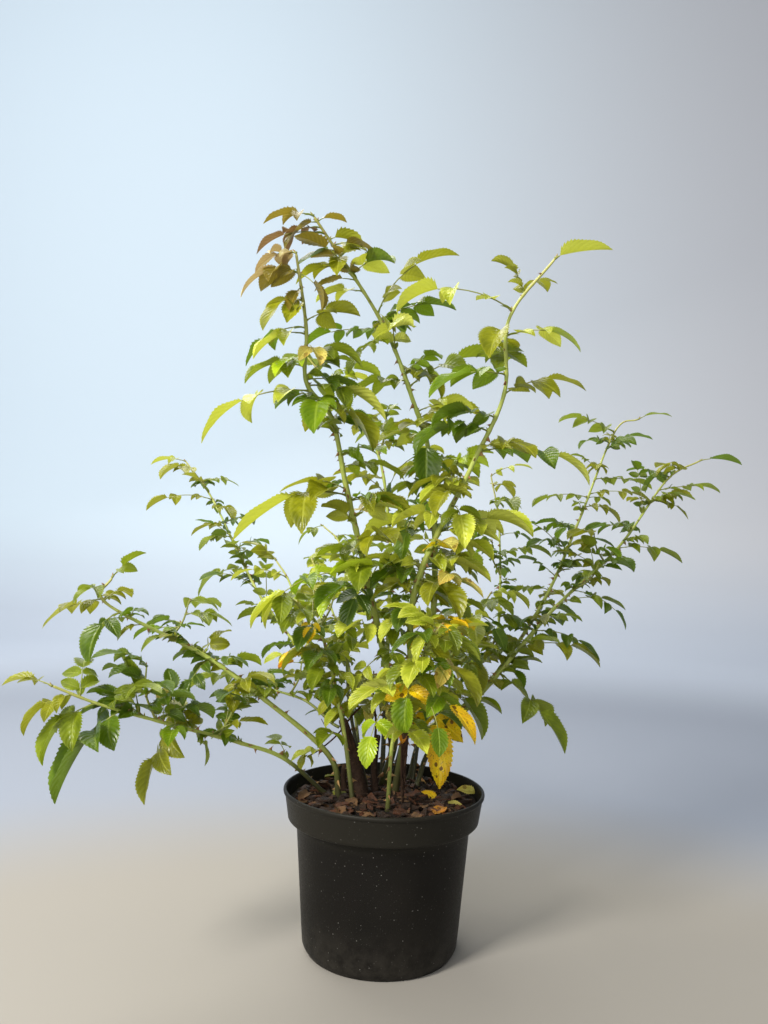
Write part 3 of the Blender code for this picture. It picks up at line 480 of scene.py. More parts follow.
class Rod(Shape):
    """A closed unit rod up +Z that is laid along a course; v runs up it and u round it."""

    SEAM = Vector((0.31, 0.95, 0.05))        # the side that the first ring starts from

    def __init__(self, rings, sides):
        bm = bmesh.new()
        bmesh.ops.create_cone(bm, cap_ends=True, segments=sides, radius1=1, radius2=1, depth=1)
        bmesh.ops.translate(bm, vec=(0, 0, 0.5), verts=bm.verts[:])
        bmesh.ops.subdivide_edges(bm, edges=edges_along(bm, 2), cuts=rings - 2, use_grid_fill=True)
        uv = bm.loops.layers.uv.new("UVMap")
        for face in bm.faces:
            turns = [math.atan2(loop.vert.co.y, loop.vert.co.x) / math.tau % 1 for loop in face.loops]
            if max(turns) - min(turns) > 0.5:
                turns = [turn + 1 if turn < 0.5 else turn for turn in turns]
            for loop, turn in zip(face.loops, turns):
                loop[uv].uv = (turn, loop.vert.co.z)
            face.smooth = len(face.verts) == 4
        Shape.__init__(self, bm, "rod_%d_%d" % (rings, sides))
        self.places = [k / (rings - 1) for k in range(rings)]
        self.ring = np.rint(self.points[:, 2] * (rings - 1)).astype(int)
        self.turn = np.arctan2(self.points[:, 1], self.points[:, 0])

    def along(self, centres, headings, radii, relief=None):
        """The rod's vertices with each ring square to its heading."""
        sides = []
        side = headings[0].cross(self.SEAM)
        for ahead in headings:
            side = (side - ahead * side.dot(ahead)).normalized()
            sides.append((side, ahead.cross(side)))
        first = np.array([pair[0] for pair in sides])[self.ring]
        second = np.array([pair[1] for pair in sides])[self.ring]
        wide = np.array(radii)[self.ring]
        if relief is not None:
            wide = wide * relief(self.turn, self.ring)
        spread = first * self.points[:, :1] + second * self.points[:, 1:2]
        return np.array([tuple(centre) for centre in centres])[self.ring] + spread * wide[:, None]

    def on(self, course, radius, relief=None, root=0.0):
        """The rod along a whole course, its foot let down by a root's depth."""
        centres = [course.point(at) for at in self.places]
        centres[0] = centres[0] - Vector((0, 0, root))
        return self.along(centres, [course.heading(at) for at in self.places],
                          [radius(at) for at in self.places], relief)


class Blade(Shape):
    """A leaflet's outline with forward teeth: x is -1 to 1 of its half width, y runs 0 to 1."""

    LEAN = 0.32              # how far a tooth points forward, as a share of a row
    LAST_TOOTH = 0.985       # no tooth points past here
    WAVES = 9.0              # radians of wave along an edge
    ARCH_GROWTH = 1.25       # how the arch sharpens towards the tip
    STEPS = 24               # short straight runs that the arch is summed over

    def __init__(self, name, rows, tooth, columns=4):
        bm = bmesh.new()
        uv = bm.loops.layers.uv.new("UVMap")
        bmesh.ops.create_grid(bm, x_segments=columns, y_segments=rows, size=0.5, calc_uvs=True)
        rims = [edge for edge in bm.edges
                if all(abs(abs(vert.co.x) - 0.5) < 1e-6 for vert in edge.verts)]
        if tooth:
            bmesh.ops.subdivide_edges(bm, edges=rims, cuts=1)
        for face in bm.faces:
            for loop in face.loops:
                loop[uv].uv = (loop.vert.co.x + 0.5, loop.vert.co.y + 0.5)
            face.smooth = True
        for vert in bm.verts:
            part = vert.co.y + 0.5
            side = vert.co.x * 2
            step = part * rows       # whole at a notch, halfway at a tooth
            if abs(step - round(step)) > 0.25:
                part = min(part + self.LEAN / rows, self.LAST_TOOTH)
                half = self.outline(part) + tooth * (1.15 - part)
            else:
                half = self.outline(part) - (tooth * 0.35 * (1 - part) if abs(side) > 0.9 else 0)
            vert.co = (side * max(half, 0.0), part, 0)
        bmesh.ops.remove_doubles(bm, verts=bm.verts[:], dist=1e-5)
        Shape.__init__(self, bm, name)

    @staticmethod
    def outline(part):
        """Half the width at a share of the length: full low down, drawn out to a point."""
        part = max(0.0, min(1.0, part))
        return part ** 0.58 * (1 - part) ** 0.84 / 0.383 * (1 - 0.40 * part ** 6)

    def laid(self, start, along, across, up, length, width, bend):
        """The leaflet folded along its midrib, arched down to its tip, waved and twisted."""
        fold, arch, wave, phase, twist = bend
        x = self.points[:, 0] * width / 2
        y = self.points[:, 1]
        side = self.points[:, 0]
        rise = np.abs(x) * math.tan(fold) * (1 - 0.35 * np.abs(side))
        rise = rise + wave * length * side ** 2 * np.sin(y * self.WAVES + phase + 1.3 * (side > 0))
        angle = twist * y
        x, rise = x * np.cos(angle) - rise * np.sin(angle), x * np.sin(angle) + rise * np.cos(angle)
        turn = arch * y ** self.ARCH_GROWTH
        marks = np.linspace(0, 1, self.STEPS + 1)
        middles = (marks[1:] + marks[:-1]) / 2
        slopes = arch * middles ** self.ARCH_GROWTH
        ahead = np.concatenate([[0], np.cumsum(np.cos(slopes))]) / self.STEPS
        down = np.concatenate([[0], np.cumsum(np.sin(slopes))]) / self.STEPS
        along_run = np.interp(y, marks, ahead) * length + rise * np.sin(turn)
        height = -np.interp(y, marks, down) * length + rise * np.cos(turn)
        return (np.array(start) + along_run[:, None] * np.array(along)
                + x[:, None] * np.array(across) + height[:, None] * np.array(up))


class Piece:
    """A bmesh that copies of shapes are joined into, and the object it becomes."""

    def __init__(self, name):
        self.name = name
        self.bm = bmesh.new()
        self.bm.loops.layers.uv.new("UVMap")

    def add(self, shape, points):
        """Join in a copy of a shape with its vertices moved to the points given."""
        start = len(self.bm.verts)
        self.bm.from_mesh(shape.mesh)
        self.bm.verts.ensure_lookup_table()
        for vert, point in zip(self.bm.verts[start:], points.tolist()):
            vert.co = point

    def finish(self, material, slot, nodes=()):
        """Make the piece's object."""
        return finish_piece(self.name, self.bm, material, nodes)


def put_in_scene(name, data):
    """A new object in the scene."""
    item = bpy.data.objects.new(name, data)
    bpy.context.scene.collection.objects.link(item)
    return item


def object_of(name, bm, material=None):
    """An object at the origin made from a bmesh, which is used up."""
    mesh = bpy.data.meshes.new(name)
    bm.to_mesh(mesh)
    bm.free()
    if material:
        mesh.materials.append(material)
    return put_in_scene(name, mesh)


def finish_piece(name, bm, material, nodes=()):
    """Turn a bmesh into a visible piece that rides on the plant's one body."""
    item = object_of(name, bm, material)
    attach(item, "root")
    if nodes:
        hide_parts(*nodes)
    return item


def thorn_shape():
    """A prickle: a cone with a long flat foot, hooked towards the cane's root."""
    half_length, half_width, hook = 0.45, 0.20, 0.42
    bm = bmesh.new()
    bmesh.ops.create_cone(bm, cap_ends=True, segments=7, radius1=1, radius2=0.06, depth=1)
    bmesh.ops.translate(bm, vec=(0, 0, 0.5), verts=bm.verts[:])
    bmesh.ops.subdivide_edges(bm, edges=edges_along(bm, 2), cuts=3, use_grid_fill=True)
    for vert in bm.verts:
        x, y, z = vert.co
        narrow = (1 - z) ** 1.6 / (1.001 - z) if z < 1 else 1.0
        vert.co = (x * narrow * half_length, y * narrow * half_width, z)
        vert.co.x -= hook * z ** 2.2
    return Shape(smoothed(bm), "thorn")


def bud_shape():
    """A small pointed bud up +Z."""
    bm = bmesh.new()
    bmesh.ops.create_uvsphere(bm, u_segments=7, v_segments=6, radius=0.5)
    for vert in bm.verts:
        z = vert.co.z + 0.5
        pinch = 1.15 - 0.75 * z
        vert.co = (vert.co.x * pinch, vert.co.y * pinch, z)
    return Shape(smoothed(bm), "bud")


# Rods have rings and sides; blades have rows, the size of their teeth and columns
STALK_ROD = Rod(9, 6)
TWIG_ROD = Rod(12, 7)
FINE_BLADE = Blade("fine_blade", 15, 0.17)
SMALL_BLADE = Blade("small_blade", 9, 0.21)
EAR_BLADE = Blade("ear_blade", 4, 0.0, 2)
THORN = thorn_shape()
BUD = bud_shape()


def stood(shape, foot, out, along, size):
    """A small shape scaled and stood on a surface, its +Z turned out and its +X along."""
    side = out.cross(along).normalized()
    ahead = side.cross(out).normalized()
    axes = np.array([tuple(ahead), tuple(side), tuple(out)])
    return np.array(tuple(foot)) + (shape.points * np.array(size)) @ axes


# ---- The plant ----

# Leaves low in the middle of the bush: root, bearing, lift, droop, reach (mm), end leaflet (mm),
# pairs, tint
LOW_LEAVES = [
    ((-0.030, 0.006, 0.262), 215, 10, 60, 52, 26, 1, "fresh"),
    ((-0.052, -0.010, 0.232), 250, 30, 60, 60, 30, 1, "mid"),
    ((-0.018, 0.030, 0.290), 175, 20, 50, 66, 30, 2, "olive"),
    ((0.015, 0.006, 0.262), 260, 15, 50, 56, 32, 1, "straw"),
    ((0.008, 0.010, 0.262), 200, 20, 60, 78, 36, 2, "olive"),
    ((0.000, -0.006, 0.272), 232, 30, 60, 70, 36, 1, "fresh"),
    ((-0.012, 0.048, 0.245), 210, 25, 55, 70, 34, 2, "mid"),
    ((0.026, -0.022, 0.285), 225, 20, 60, 64, 34, 1, "mid"),
    ((0.028, 0.060, 0.245), -40, 25, 50, 80, 34, 2, "rich"),
    ((0.056, 0.094, 0.240), -50, 15, 50, 78, 30, 2, "rich"),
    ((0.070, 0.110, 0.255), -20, 20, 50, 80, 32, 2, "mid"),
    ((-0.108, -0.018, 0.206), 120, 45, 60, 60, 28, 1, "mid"),
    ((-0.062, -0.018, 0.215), 200, 25, 60, 46, 22, 1, "fresh"),
]

# Share of each tint in each part of the bush; the shares also paint light and shade, with pale tints
# weighted into the centre as painted light and dark tints into the outer, deep and back parts as painted
# shade
PALETTES = {
    "outer_left": {"mid": 29, "olive": 23, "rich": 37, "green": 2, "fresh": 3, "blue": 4, "straw": 2},
    "outer_right": {"mid": 27, "rich": 46, "olive": 16, "green": 5, "fresh": 2, "blue": 4},
    "centre": {"mid": 17, "fresh": 40, "olive": 22, "rich": 7, "green": 5, "vivid": 4, "straw": 5},
    "low": {"mid": 19, "fresh": 32, "olive": 21, "rich": 6, "green": 6, "gold": 7, "rust": 3, "straw": 6},
    "upper": {"olive": 26, "fresh": 20, "mid": 23, "rich": 24, "green": 5, "straw": 2},
    "top": {"bronze": 28, "olive": 28, "plum": 8, "fresh": 10, "mid": 18, "rich": 8},
    "deep": {"rich": 44, "mid": 30, "olive": 22, "blue": 4},
    "back": {"mid": 38, "rich": 30, "olive": 20, "fresh": 12},
}
ZONES = {
    "left_low": ("outer_left",) * 3, "left_mid": ("outer_left",) * 3,
    "left_thin": ("deep",) * 3, "left_back": ("deep",) * 3,
    "left_inner": ("centre",) * 3, "left_front": ("low",) * 3,
    "middle_thin": ("back",) * 3, "middle_back": ("back", "back", "upper"),
    "tall_left": ("centre", "upper", "top"), "tall_middle": ("centre", "upper", "top"),
    "tall_right": ("centre", "upper", "upper"),
    "right_back": ("outer_right",) * 3, "right_far": ("outer_right",) * 3,
    "right_thin": ("outer_right",) * 3, "front_short": ("low",) * 3,
    "back_short": ("back",) * 3, "right_inner": ("low",) * 3,
}
# Extra fine leaves between the buds of each cane, as a share of its buds
FULLNESS = {
    "left_low": 1.35, "left_mid": 1.3, "left_thin": 1.0, "left_back": 1.3, "left_inner": 1.5,
    "left_front": 1.5, "middle_thin": 1.0, "middle_back": 0.9, "tall_left": 0.60,
    "tall_middle": 0.60, "tall_right": 0.30, "right_back": 1.0, "right_far": 1.0,
    "right_thin": 1.3, "front_short": 1.5, "back_short": 1.2, "right_inner": 1.6,
}


def tint_of(name, at, rng):
    """A tint dealt out by the part of the bush that a place on a cane is in."""
    zone = ZONES[name][0 if at < 0.58 else 1 if at < 0.86 else 2]
    shares = PALETTES[zone]
    return rng.choices(list(shares), weights=list(shares.values()))[0]


def spiral_leaves(name, course):
    """Leaves and side shoots dealt round a cane between the ones that were set."""
    leafy, gap, size, seed = CANES[name][3:]
    rng = random.Random(seed)
    taken = [row[0] for row in SET_LEAVES.get(name, ())]
    count = round((1 - leafy) * course.length / gap)
    rows = []
    for k in range(count):
        at = leafy + (1 - leafy) * (k + 0.7) / count + rng.uniform(-0.2, 0.2) / count
        bearing = SPIRAL * k + 31 * seed + rng.uniform(-20, 20)
        lift = rng.uniform(15, 50)
        droop = rng.uniform(45, 80)
        blade = size * rng.uniform(0.78, 1.08)
        reach = blade * rng.uniform(1.7, 2.3)
        forks = rng.random() < 0.20 and at < 0.8
        if min([abs(at - other) for other in taken] + [1]) * course.length < 0.42 * gap:
            continue
        rows.append((min(at, 0.995), bearing, lift, droop, reach, blade, forks))
    return rows


def fine_leaves(name, course, rng):
    """Smaller leaves from the buds between the main ones."""
    leafy, gap, size, seed = CANES[name][3:]
    count = round((1 - leafy) * course.length / gap * FULLNESS[name])
    rows = []
    for k in range(count):
        at = leafy - 0.04 + (0.98 - leafy) * (k + rng.uniform(0.1, 0.9)) / count
        blade = size * rng.uniform(0.50, 0.92)
        rows.append((at, SPIRAL * k + 53 * seed, rng.uniform(10, 55), rng.uniform(40, 85),
                     blade * rng.uniform(2.0, 2.5), blade))
    return rows


def set_leaf(course, at, bearing, lift, droop, reach, size, pairs, tint):
    """A listed leaf, its reach and end leaflet given in millimetres."""
    leaf = Leaf(course.point(at), bearing, lift, droop, reach / MM, size / MM, pairs, tint)
    return at, leaf, True


def grow_plan(name, course):
    """Everything on one cane: compound leaves, and side shoots that carry their own."""
    rng = random.Random(100 + CANES[name][6])
    leaves = []
    shoots = []
    for at, bearing, lift, droop, reach, size, pairs, tint in SET_LEAVES.get(name, ()):
        if pairs == 1 and reach / size - 1 > LONG_STALK:
            pairs = 2
        leaves.append(set_leaf(course, at, bearing, lift, droop, reach, size, pairs, tint))
    for row in MORE_LEAVES.get(name, ()):
        leaves.append(set_leaf(course, *row))
    for at, tip, droop, size, pairs, tint in AIMED_LEAVES.get(name, ()):
        leaves.append((at, aimed_leaf(course.point(at), Vector(tip), droop, size / MM, pairs,
                                      tint), True))
    for at, bearing, lift, droop, reach, size, forks in spiral_leaves(name, course):
        origin = course.point(at)
        if not forks:
            leaves.append((at, Leaf(origin, bearing, lift, droop, reach, size,
                                    rng.choice((2, 2, 2, 3)), tint_of(name, at, rng)), False))
            continue
        tip = origin + heading_of(bearing, lift + 25) * reach * 0.75
        bend = origin.lerp(tip, 0.5) + heading_of(bearing, lift - 40) * reach * 0.10
        shoot = Course([origin, bend, tip])
        shoots.append(shoot)
        for spot, turn in SHOOT_LEAVES:
            leaves.append((at, Leaf(shoot.point(spot), bearing + turn, lift, droop,
                                    reach * (0.62 + 0.18 * spot), size * (0.66 + 0.24 * spot), 2,
                                    tint_of(name, at, rng)), False))
    for at, bearing, lift, droop, reach, size in fine_leaves(name, course, rng):
        leaves.append((at, Leaf(course.point(at), bearing, lift, droop, reach, size,
                                rng.choice((1, 2, 2, 3)), tint_of(name, at, rng)), False))
    return leaves, shoots


# Ranges that a leaflet's shape is drawn from: angles in radians, the rest as shares of its length
FOLD = (0.30, 0.95)          # angle
ARCH = (0.30, 1.00)          # angle
TWIST = (-0.40, 0.40)        # angle
WAVE = (0.010, 0.030)
WIDTH = (0.52, 0.64)
LARGE_LEAFLET = 0.046        # longer leaflets are narrower
NARROWING = 4.5


def grow_leaflet(piece, shape, start, along, across, up, length, rng, hang=1.0):
    """One leaflet with its own fold, arch, wave and twist."""
    bend = (rng.uniform(*FOLD), hang * rng.uniform(*ARCH), rng.uniform(*WAVE),
            rng.uniform(0, 6.3), rng.uniform(*TWIST))
    width = length * (rng.uniform(*WIDTH) - NARROWING * max(0.0, length - LARGE_LEAFLET))
    piece.add(shape, shape.laid(start, along, across, up, length, width, bend))


FINE_FROM = 0.033            # set leaves larger than this have fine teeth
STALK_ROOT = 0.0008          # how far a leaf's stalk starts inside its cane
STALK_SWELL = 0.004          # how far up the stalk its thick foot reaches
SIDE_TURN = (50, 74)         # degrees between the stalk and a side leaflet
SIDE_SHARE = (0.60, 0.80)    # a side leaflet's length as a share of the end one's
SIDE_STALK = 0.0009
PAIR_SHRINK = 0.88           # from each pair to the one below it
LONGEST_EAR = 0.013


def grow_stalk(leaf, stalk, piece):
    """A leaf's stalk, thick at its foot."""
    runs = [(stalk + STALK_ROOT) * at - STALK_ROOT for at in STALK_ROD.places]
    thick = 0.00042 + 0.009 * leaf.size
    radii = [thick * (1.9 - 0.9 * min(1, run / STALK_SWELL) - 0.35 * max(run, 0) / stalk)
             for run in runs]
    centres, headings = zip(*[stalk_place(leaf, run) for run in runs])
    piece.add(STALK_ROD, STALK_ROD.along(centres, headings, radii))


def grow_pair(leaf, place, size, piece, shape, rng):
    """Two side leaflets at one place on a leaf's stalk, each turned its own way."""
    here, ahead = stalk_place(leaf, place)
    across, up = leaf_frame(leaf, ahead)
    for sign in (1, -1):
        turn = math.radians(rng.uniform(*SIDE_TURN))
        along = (ahead * math.cos(turn) + across * sign * math.sin(turn)
                 - up * rng.uniform(-0.15, 0.50)).normalized()
        rise = (up + across * sign * rng.uniform(-0.25, 0.45)
                - ahead * rng.uniform(-0.30, 0.45)).normalized()
        wing = along.cross(rise).normalized()
        rise = wing.cross(along)
        length = size * rng.uniform(0.9, 1.08)
        grow_leaflet(piece, shape, here + along * SIDE_STALK, along, wing, rise, length, rng)


def grow_ears(leaf, stalk, piece):
    """The two narrow ears that clasp a stalk's root."""
    length = min(LONGEST_EAR, 0.45 * stalk)
    here, ahead = stalk_place(leaf, 0.001)
    across, up = leaf_frame(leaf, ahead)
    for sign in (1, -1):
        along = (ahead + across * sign * 0.28).normalized()
        rise = along.cross(up).cross(along).normalized()
        wing = along.cross(rise).normalized()
        piece.add(EAR_BLADE, EAR_BLADE.laid(here, along, wing, rise, length, length * 0.34,
                                            (0.3, 0.4, 0.0, 0, 0)))


def grow_leaf(leaf, pieces, rng, large):
    """A compound leaf: stalk, side leaflets in pairs, end leaflet and ears."""
    end_tint, side_tint = (leaf.tint.split("/") * 2)[:2]
    shape = FINE_BLADE if large else SMALL_BLADE
    stalk = leaf.reach - leaf.size
    grow_stalk(leaf, stalk, pieces["stalks"])
    share = rng.uniform(*SIDE_SHARE)
    for k, joint in enumerate(JOINTS[leaf.pairs]):
        place = stalk * (joint + rng.uniform(-0.02, 0.02))
        grow_pair(leaf, place, leaf.size * share * PAIR_SHRINK ** k, pieces[side_tint], shape, rng)
    here, last = stalk_place(leaf, stalk)
    middle = heading_of(leaf.bearing, leaf.lift - leaf.droop * (1 - leaf.size / leaf.reach / 2))
    ahead = middle.lerp(last, 0.5).normalized()
    across, up = leaf_frame(leaf, ahead)
    grow_leaflet(pieces[end_tint], shape, here, ahead, across, up, leaf.size * 1.03, rng, 0.8)
    grow_ears(leaf, stalk, pieces["ears"])


def bumps(seed, count=5):
    """A smooth lumpy pattern round and along a limb, between about -1 and 1."""
    rng = random.Random(seed)
    waves = [(rng.randint(1, 4), rng.uniform(0.05, 0.55), rng.uniform(0, 6.3)) for _ in range(count)]

    def relief(turn, ring):
        total = 0
        for around, along, phase in waves:
            total = total + np.sin(around * turn + along * ring + phase)
        return total / count

    return relief


ROD_SPACING = 0.0032         # between the rings of a cane's skin
CANE_SIDES = 12
BUD_REACH = 0.0028           # how far along a cane a bud's swelling reaches
FOOT_FLARE = 0.0011          # how much wider a cane is at the soil
FLARE_REACH = 0.006          # how far up it narrows again
TIP_PINCH = 0.55
PRICKLE_FREE = 0.012         # length at each end of a cane that has no prickles


def grow_cane(name, course, leaves, pieces):
    """A cane's whole skin, from under the soil to its tip, swollen at each bud."""
    rod = Rod(max(20, round(course.length / ROD_SPACING)), CANE_SIDES)
    rooted = name not in FORKS and name not in SPRIGS
    buds = [row[0] for row in leaves]
    seed = CANES[name][6]
    lumps = bumps(seed)

    def radius(at):
        wide = limb_radius(name, at)
        near = min([abs(at - bud) for bud in buds] + [1]) * course.length
        wide += (0.00018 + 0.08 * wide) * math.exp(-(near / BUD_REACH) ** 2)
        if rooted:
            wide += FOOT_FLARE * math.exp(-at * course.length / FLARE_REACH)
        return wide * (TIP_PINCH if at == 1 else 1)

    def relief(turn, ring):
        return 1 + 0.045 * lumps(turn, ring) + 0.022 * np.sin(5 * turn + seed + 0.03 * ring)

    pieces["canes"].add(rod, rod.on(course, radius, relief, ROOT_DEPTH if rooted else 0.0))


def grow_prickles(name, course, pieces, rng):
    """Prickles all round a cane, larger low down."""
    run = PRICKLE_FREE
    while run < course.length - PRICKLE_FREE:
        at = run / course.length
        ahead = course.heading(at)
        side = ahead.cross(Vector((0.3, 0.2, 1))).normalized()
        out = Matrix.Rotation(rng.uniform(0, math.tau), 3, ahead) @ side
        wide = limb_radius(name, at)
        size = (0.0036 + 0.90 * wide) * rng.uniform(0.60, 1.35)
        if at > 0.8:
            size *= 0.6
        foot = course.point(at) + out * wide * 0.82
        pieces["prickles"].add(THORN, stood(THORN, foot, out, ahead, (size, size, size)))
        run += rng.uniform(0.006, 0.019) * (1.0 if at < 0.75 else 1.5)


def grow_bud(name, at, leaf, piece, rng):
    """A bud on a cane in the angle above a leaf's stalk."""
    out = heading_of(leaf.bearing, leaf.lift + 35)
    size = rng.uniform(0.0018, 0.0030)
    foot = leaf.origin + out * limb_radius(name, at) * 0.8
    piece.add(BUD, stood(BUD, foot, out, Vector((0.1, 0.2, 1)),
                         (size * 0.7, size * 0.7, size * 1.5)))


def grow_plant():
    """The canes and all that they carry, each kind apart in its own piece."""
    names = ["canes", "stalks", "ears", "prickles", "buds"] + list(TINTS)
    pieces = {name: Piece(("leaflets_" if name in TINTS else "") + name) for name in names}
    for name in CANES:
        course = cane_course(name)
        rng = random.Random(500 + CANES[name][6])
        leaves, shoots = grow_plan(name, course)
        grow_cane(name, course, leaves, pieces)
        grow_prickles(name, course, pieces, rng)
        for shoot in shoots:
            pieces["stalks"].add(TWIG_ROD, TWIG_ROD.on(shoot, lambda at: 0.0014 - 0.0006 * at))
        for at, leaf, is_set in leaves:
            grow_leaf(leaf, pieces, rng, is_set and leaf.size > FINE_FROM)
            grow_bud(name, at, leaf, pieces["buds"], rng)
    rng = random.Random(900)
    for root, bearing, lift, droop, reach, size, pairs, tint in LOW_LEAVES:
        grow_leaf(Leaf(Vector(root), bearing, lift, droop, reach / MM, size / MM, pairs, tint),
                  pieces, rng, True)
    return pieces


# ---- Old wood ----

# Dead twigs: knees, foot radius, tip radius
DEAD_TWIGS = [
    ([(-0.012, 0.018, 0.220), (-0.0116, 0.016, 0.244), (-0.0146, 0.014, 0.2645),
      (-0.0163, 0.012, 0.283), (-0.016, 0.008, 0.303)], 0.0016, 0.0007),
    ([(-0.0300, 0.006, 0.262), (-0.0389, 0.000, 0.2529), (-0.0538, -0.004, 0.2331),
      (-0.0708, -0.010, 0.2184), (-0.0863, -0.020, 0.2103)], 0.0012, 0.0007),
    ([(-0.0538, -0.004, 0.2331), (-0.066, 0.004, 0.236), (-0.074, 0.008, 0.247)], 0.0008, 0.0004),
    ([(0.0196, -0.021, 0.2455), (0.0178, -0.0265, 0.228), (0.0175, -0.025, 0.206),
      (0.0199, -0.024, 0.164)], 0.0007, 0.0005),
    ([(0.005, 0.018, 0.158), (0.007, 0.020, 0.200), (0.004, 0.018, 0.232)], 0.0030, 0.0022),
    ([(-0.044, 0.020, 0.158), (-0.047, 0.022, 0.178), (-0.046, 0.026, 0.192)], 0.0040, 0.0030),
]
FIBRES = 44
STUMP_FLARE = 0.0016         # how much wider a stump is at the soil
STUMP_FLARE_REACH = 0.007    # how far up it narrows again
STUMP_CUT = 0.86             # its cut top, as a share of its width


def grow_stumps():
    """Stumps with fissured bark and cut tops."""
    wood = Piece("old_stumps")
    for k, (name, (knees, foot, top)) in enumerate(STUMPS.items()):
        course = Course(knees)
        rod = Rod(46, 24)
        lumps = bumps(60 + k, 7)

        def radius(at):
            wide = foot + (top - foot) * at
            wide += STUMP_FLARE * math.exp(-at * course.length / STUMP_FLARE_REACH)
            wide *= STUMP_CUT if at == 1 else 1
            return wide * (withered(at) if name == "stump_dead" else 1)

        def relief(turn, ring):
            cracks = np.abs(np.sin(4.5 * turn + 0.05 * ring + 1.2 * lumps(turn, ring))) ** 0.4
            return 0.88 + 0.12 * cracks + 0.07 * lumps(turn, ring)

        wood.add(rod, rod.on(course, radius, relief, ROOT_DEPTH))
    return wood


def withered(at):
    """What is left of the dead stump's width, thinnest at its foot."""
    return min(0.85, 0.32 + 1.1 * at)


def grow_dead_twigs():
    """Bare dead twigs, and fibres that fray from the dead stump."""
    twigs = Piece("dead_twigs")
    for k, (knees, foot, tip) in enumerate(DEAD_TWIGS):
        rod = Rod(26, 8)
        lumps = bumps(80 + k)
        twigs.add(rod, rod.on(Course(knees), lambda at: foot + (tip - foot) * at,
                              lambda turn, ring: 1 + 0.22 * lumps(turn, ring)))
    rng = random.Random(41)
    knees, foot, top = STUMPS["stump_dead"]
    stub = Course(knees)
    for k in range(FIBRES):
        at = rng.uniform(0.12, 0.98)
        start = stub.point(at)
        out = heading_of(360 * k / FIBRES + rng.uniform(-12, 12), rng.uniform(-10, 40))
        wide = (foot + (top - foot) * at) * withered(at)
        length = rng.uniform(0.012, 0.034)
        strip = Course([start + out * wide * 0.75 - Vector((0, 0, 0.4 * length)),
                        start + out * wide * 1.05,
                        start + out * wide * rng.uniform(1.1, 1.6) + Vector((0, 0, 0.5 * length))])
        twigs.add(STALK_ROD, STALK_ROD.on(strip, lambda at: 0.0008 * (1.1 - at)))
    return twigs


# ---- Pot and soil ----

def spin_profile(profile, steps):
    """A turned shape from a profile of (radius, height) given from the axis outwards and back."""
    bm = bmesh.new()
    verts = [bm.verts.new((radius, 0, height)) for radius, height in profile]
    edges = [bm.edges.new(pair) for pair in zip(verts, verts[1:])]
    bmesh.ops.spin(bm, geom=verts + edges, axis=(0, 0, 1), cent=(0, 0, 0), angle=math.tau,
                   steps=steps, use_merge=True)
    bmesh.ops.remove_doubles(bm, verts=bm.verts[:], dist=1e-6)
    bmesh.ops.dissolve_degenerate(bm, edges=bm.edges[:], dist=1e-7)
    bmesh.ops.recalc_face_normals(bm, faces=bm.faces[:])
    return bm


def make_pot(material):
    """A turned nursery pot: rounded foot, tapered wall, stepped collar, rolled lip, drain holes."""
    outside = [(0, 0.0012), (BASE_RADIUS - 0.010, 0.0012), (BASE_RADIUS - 0.008, 0.0002),
               (BASE_RADIUS - 0.0022, 0), (BASE_RADIUS - 0.0006, 0.0004), (BASE_RADIUS, 0.0014),
               (WALL_FOOT_RADIUS - 0.0022, 0.0052), (WALL_FOOT_RADIUS - 0.0008, 0.0085),
               (WALL_FOOT_RADIUS, 0.016), (WALL_FOOT_RADIUS + 0.0012, 0.030),
               (WALL_TOP_RADIUS - 0.0022, COLLAR_FOOT - 0.028),
               (WALL_TOP_RADIUS - 0.0004, COLLAR_FOOT - 0.0062),
               (WALL_TOP_RADIUS + 0.0004, COLLAR_FOOT - 0.0034),
               (WALL_TOP_RADIUS + 0.0016, COLLAR_FOOT - 0.0012),
               (COLLAR_FOOT_RADIUS - 0.0036, COLLAR_FOOT - 0.0001),
               (COLLAR_FOOT_RADIUS - 0.0012, COLLAR_FOOT + 0.0003),
               (COLLAR_FOOT_RADIUS - 0.0001, COLLAR_FOOT + 0.0016),
               (COLLAR_FOOT_RADIUS + 0.0003, COLLAR_FOOT + 0.0040),
               (RIM_RADIUS - 0.0021, POT_HEIGHT - 0.0062), (RIM_RADIUS - 0.0016, POT_HEIGHT - 0.0050),
               (RIM_RADIUS - 0.0003, POT_HEIGHT - 0.0040), (RIM_RADIUS, POT_HEIGHT - 0.0026),
               (RIM_RADIUS - 0.0002, POT_HEIGHT - 0.0010), (RIM_RADIUS - 0.0009, POT_HEIGHT - 0.0001)]
    inside = [(RIM_RADIUS - POT_WALL - 0.0006, POT_HEIGHT),
              (RIM_RADIUS - POT_WALL - 0.0012, POT_HEIGHT - 0.0008),
              (RIM_RADIUS - POT_WALL - 0.0016, POT_HEIGHT - 0.005),
              (COLLAR_FOOT_RADIUS - POT_WALL, COLLAR_FOOT + 0.004),
              (WALL_TOP_RADIUS - POT_WALL, COLLAR_FOOT - 0.001),
              (WALL_FOOT_RADIUS + 0.0012 - POT_WALL, 0.030),
              (BASE_RADIUS - POT_WALL, FLOOR_THICKNESS), (0, FLOOR_THICKNESS)]
    bm = smoothed(spin_profile(outside + inside, POT_STEPS))
    drill_drains(finish_piece("pot_shell", bm, material, ["pot"]))


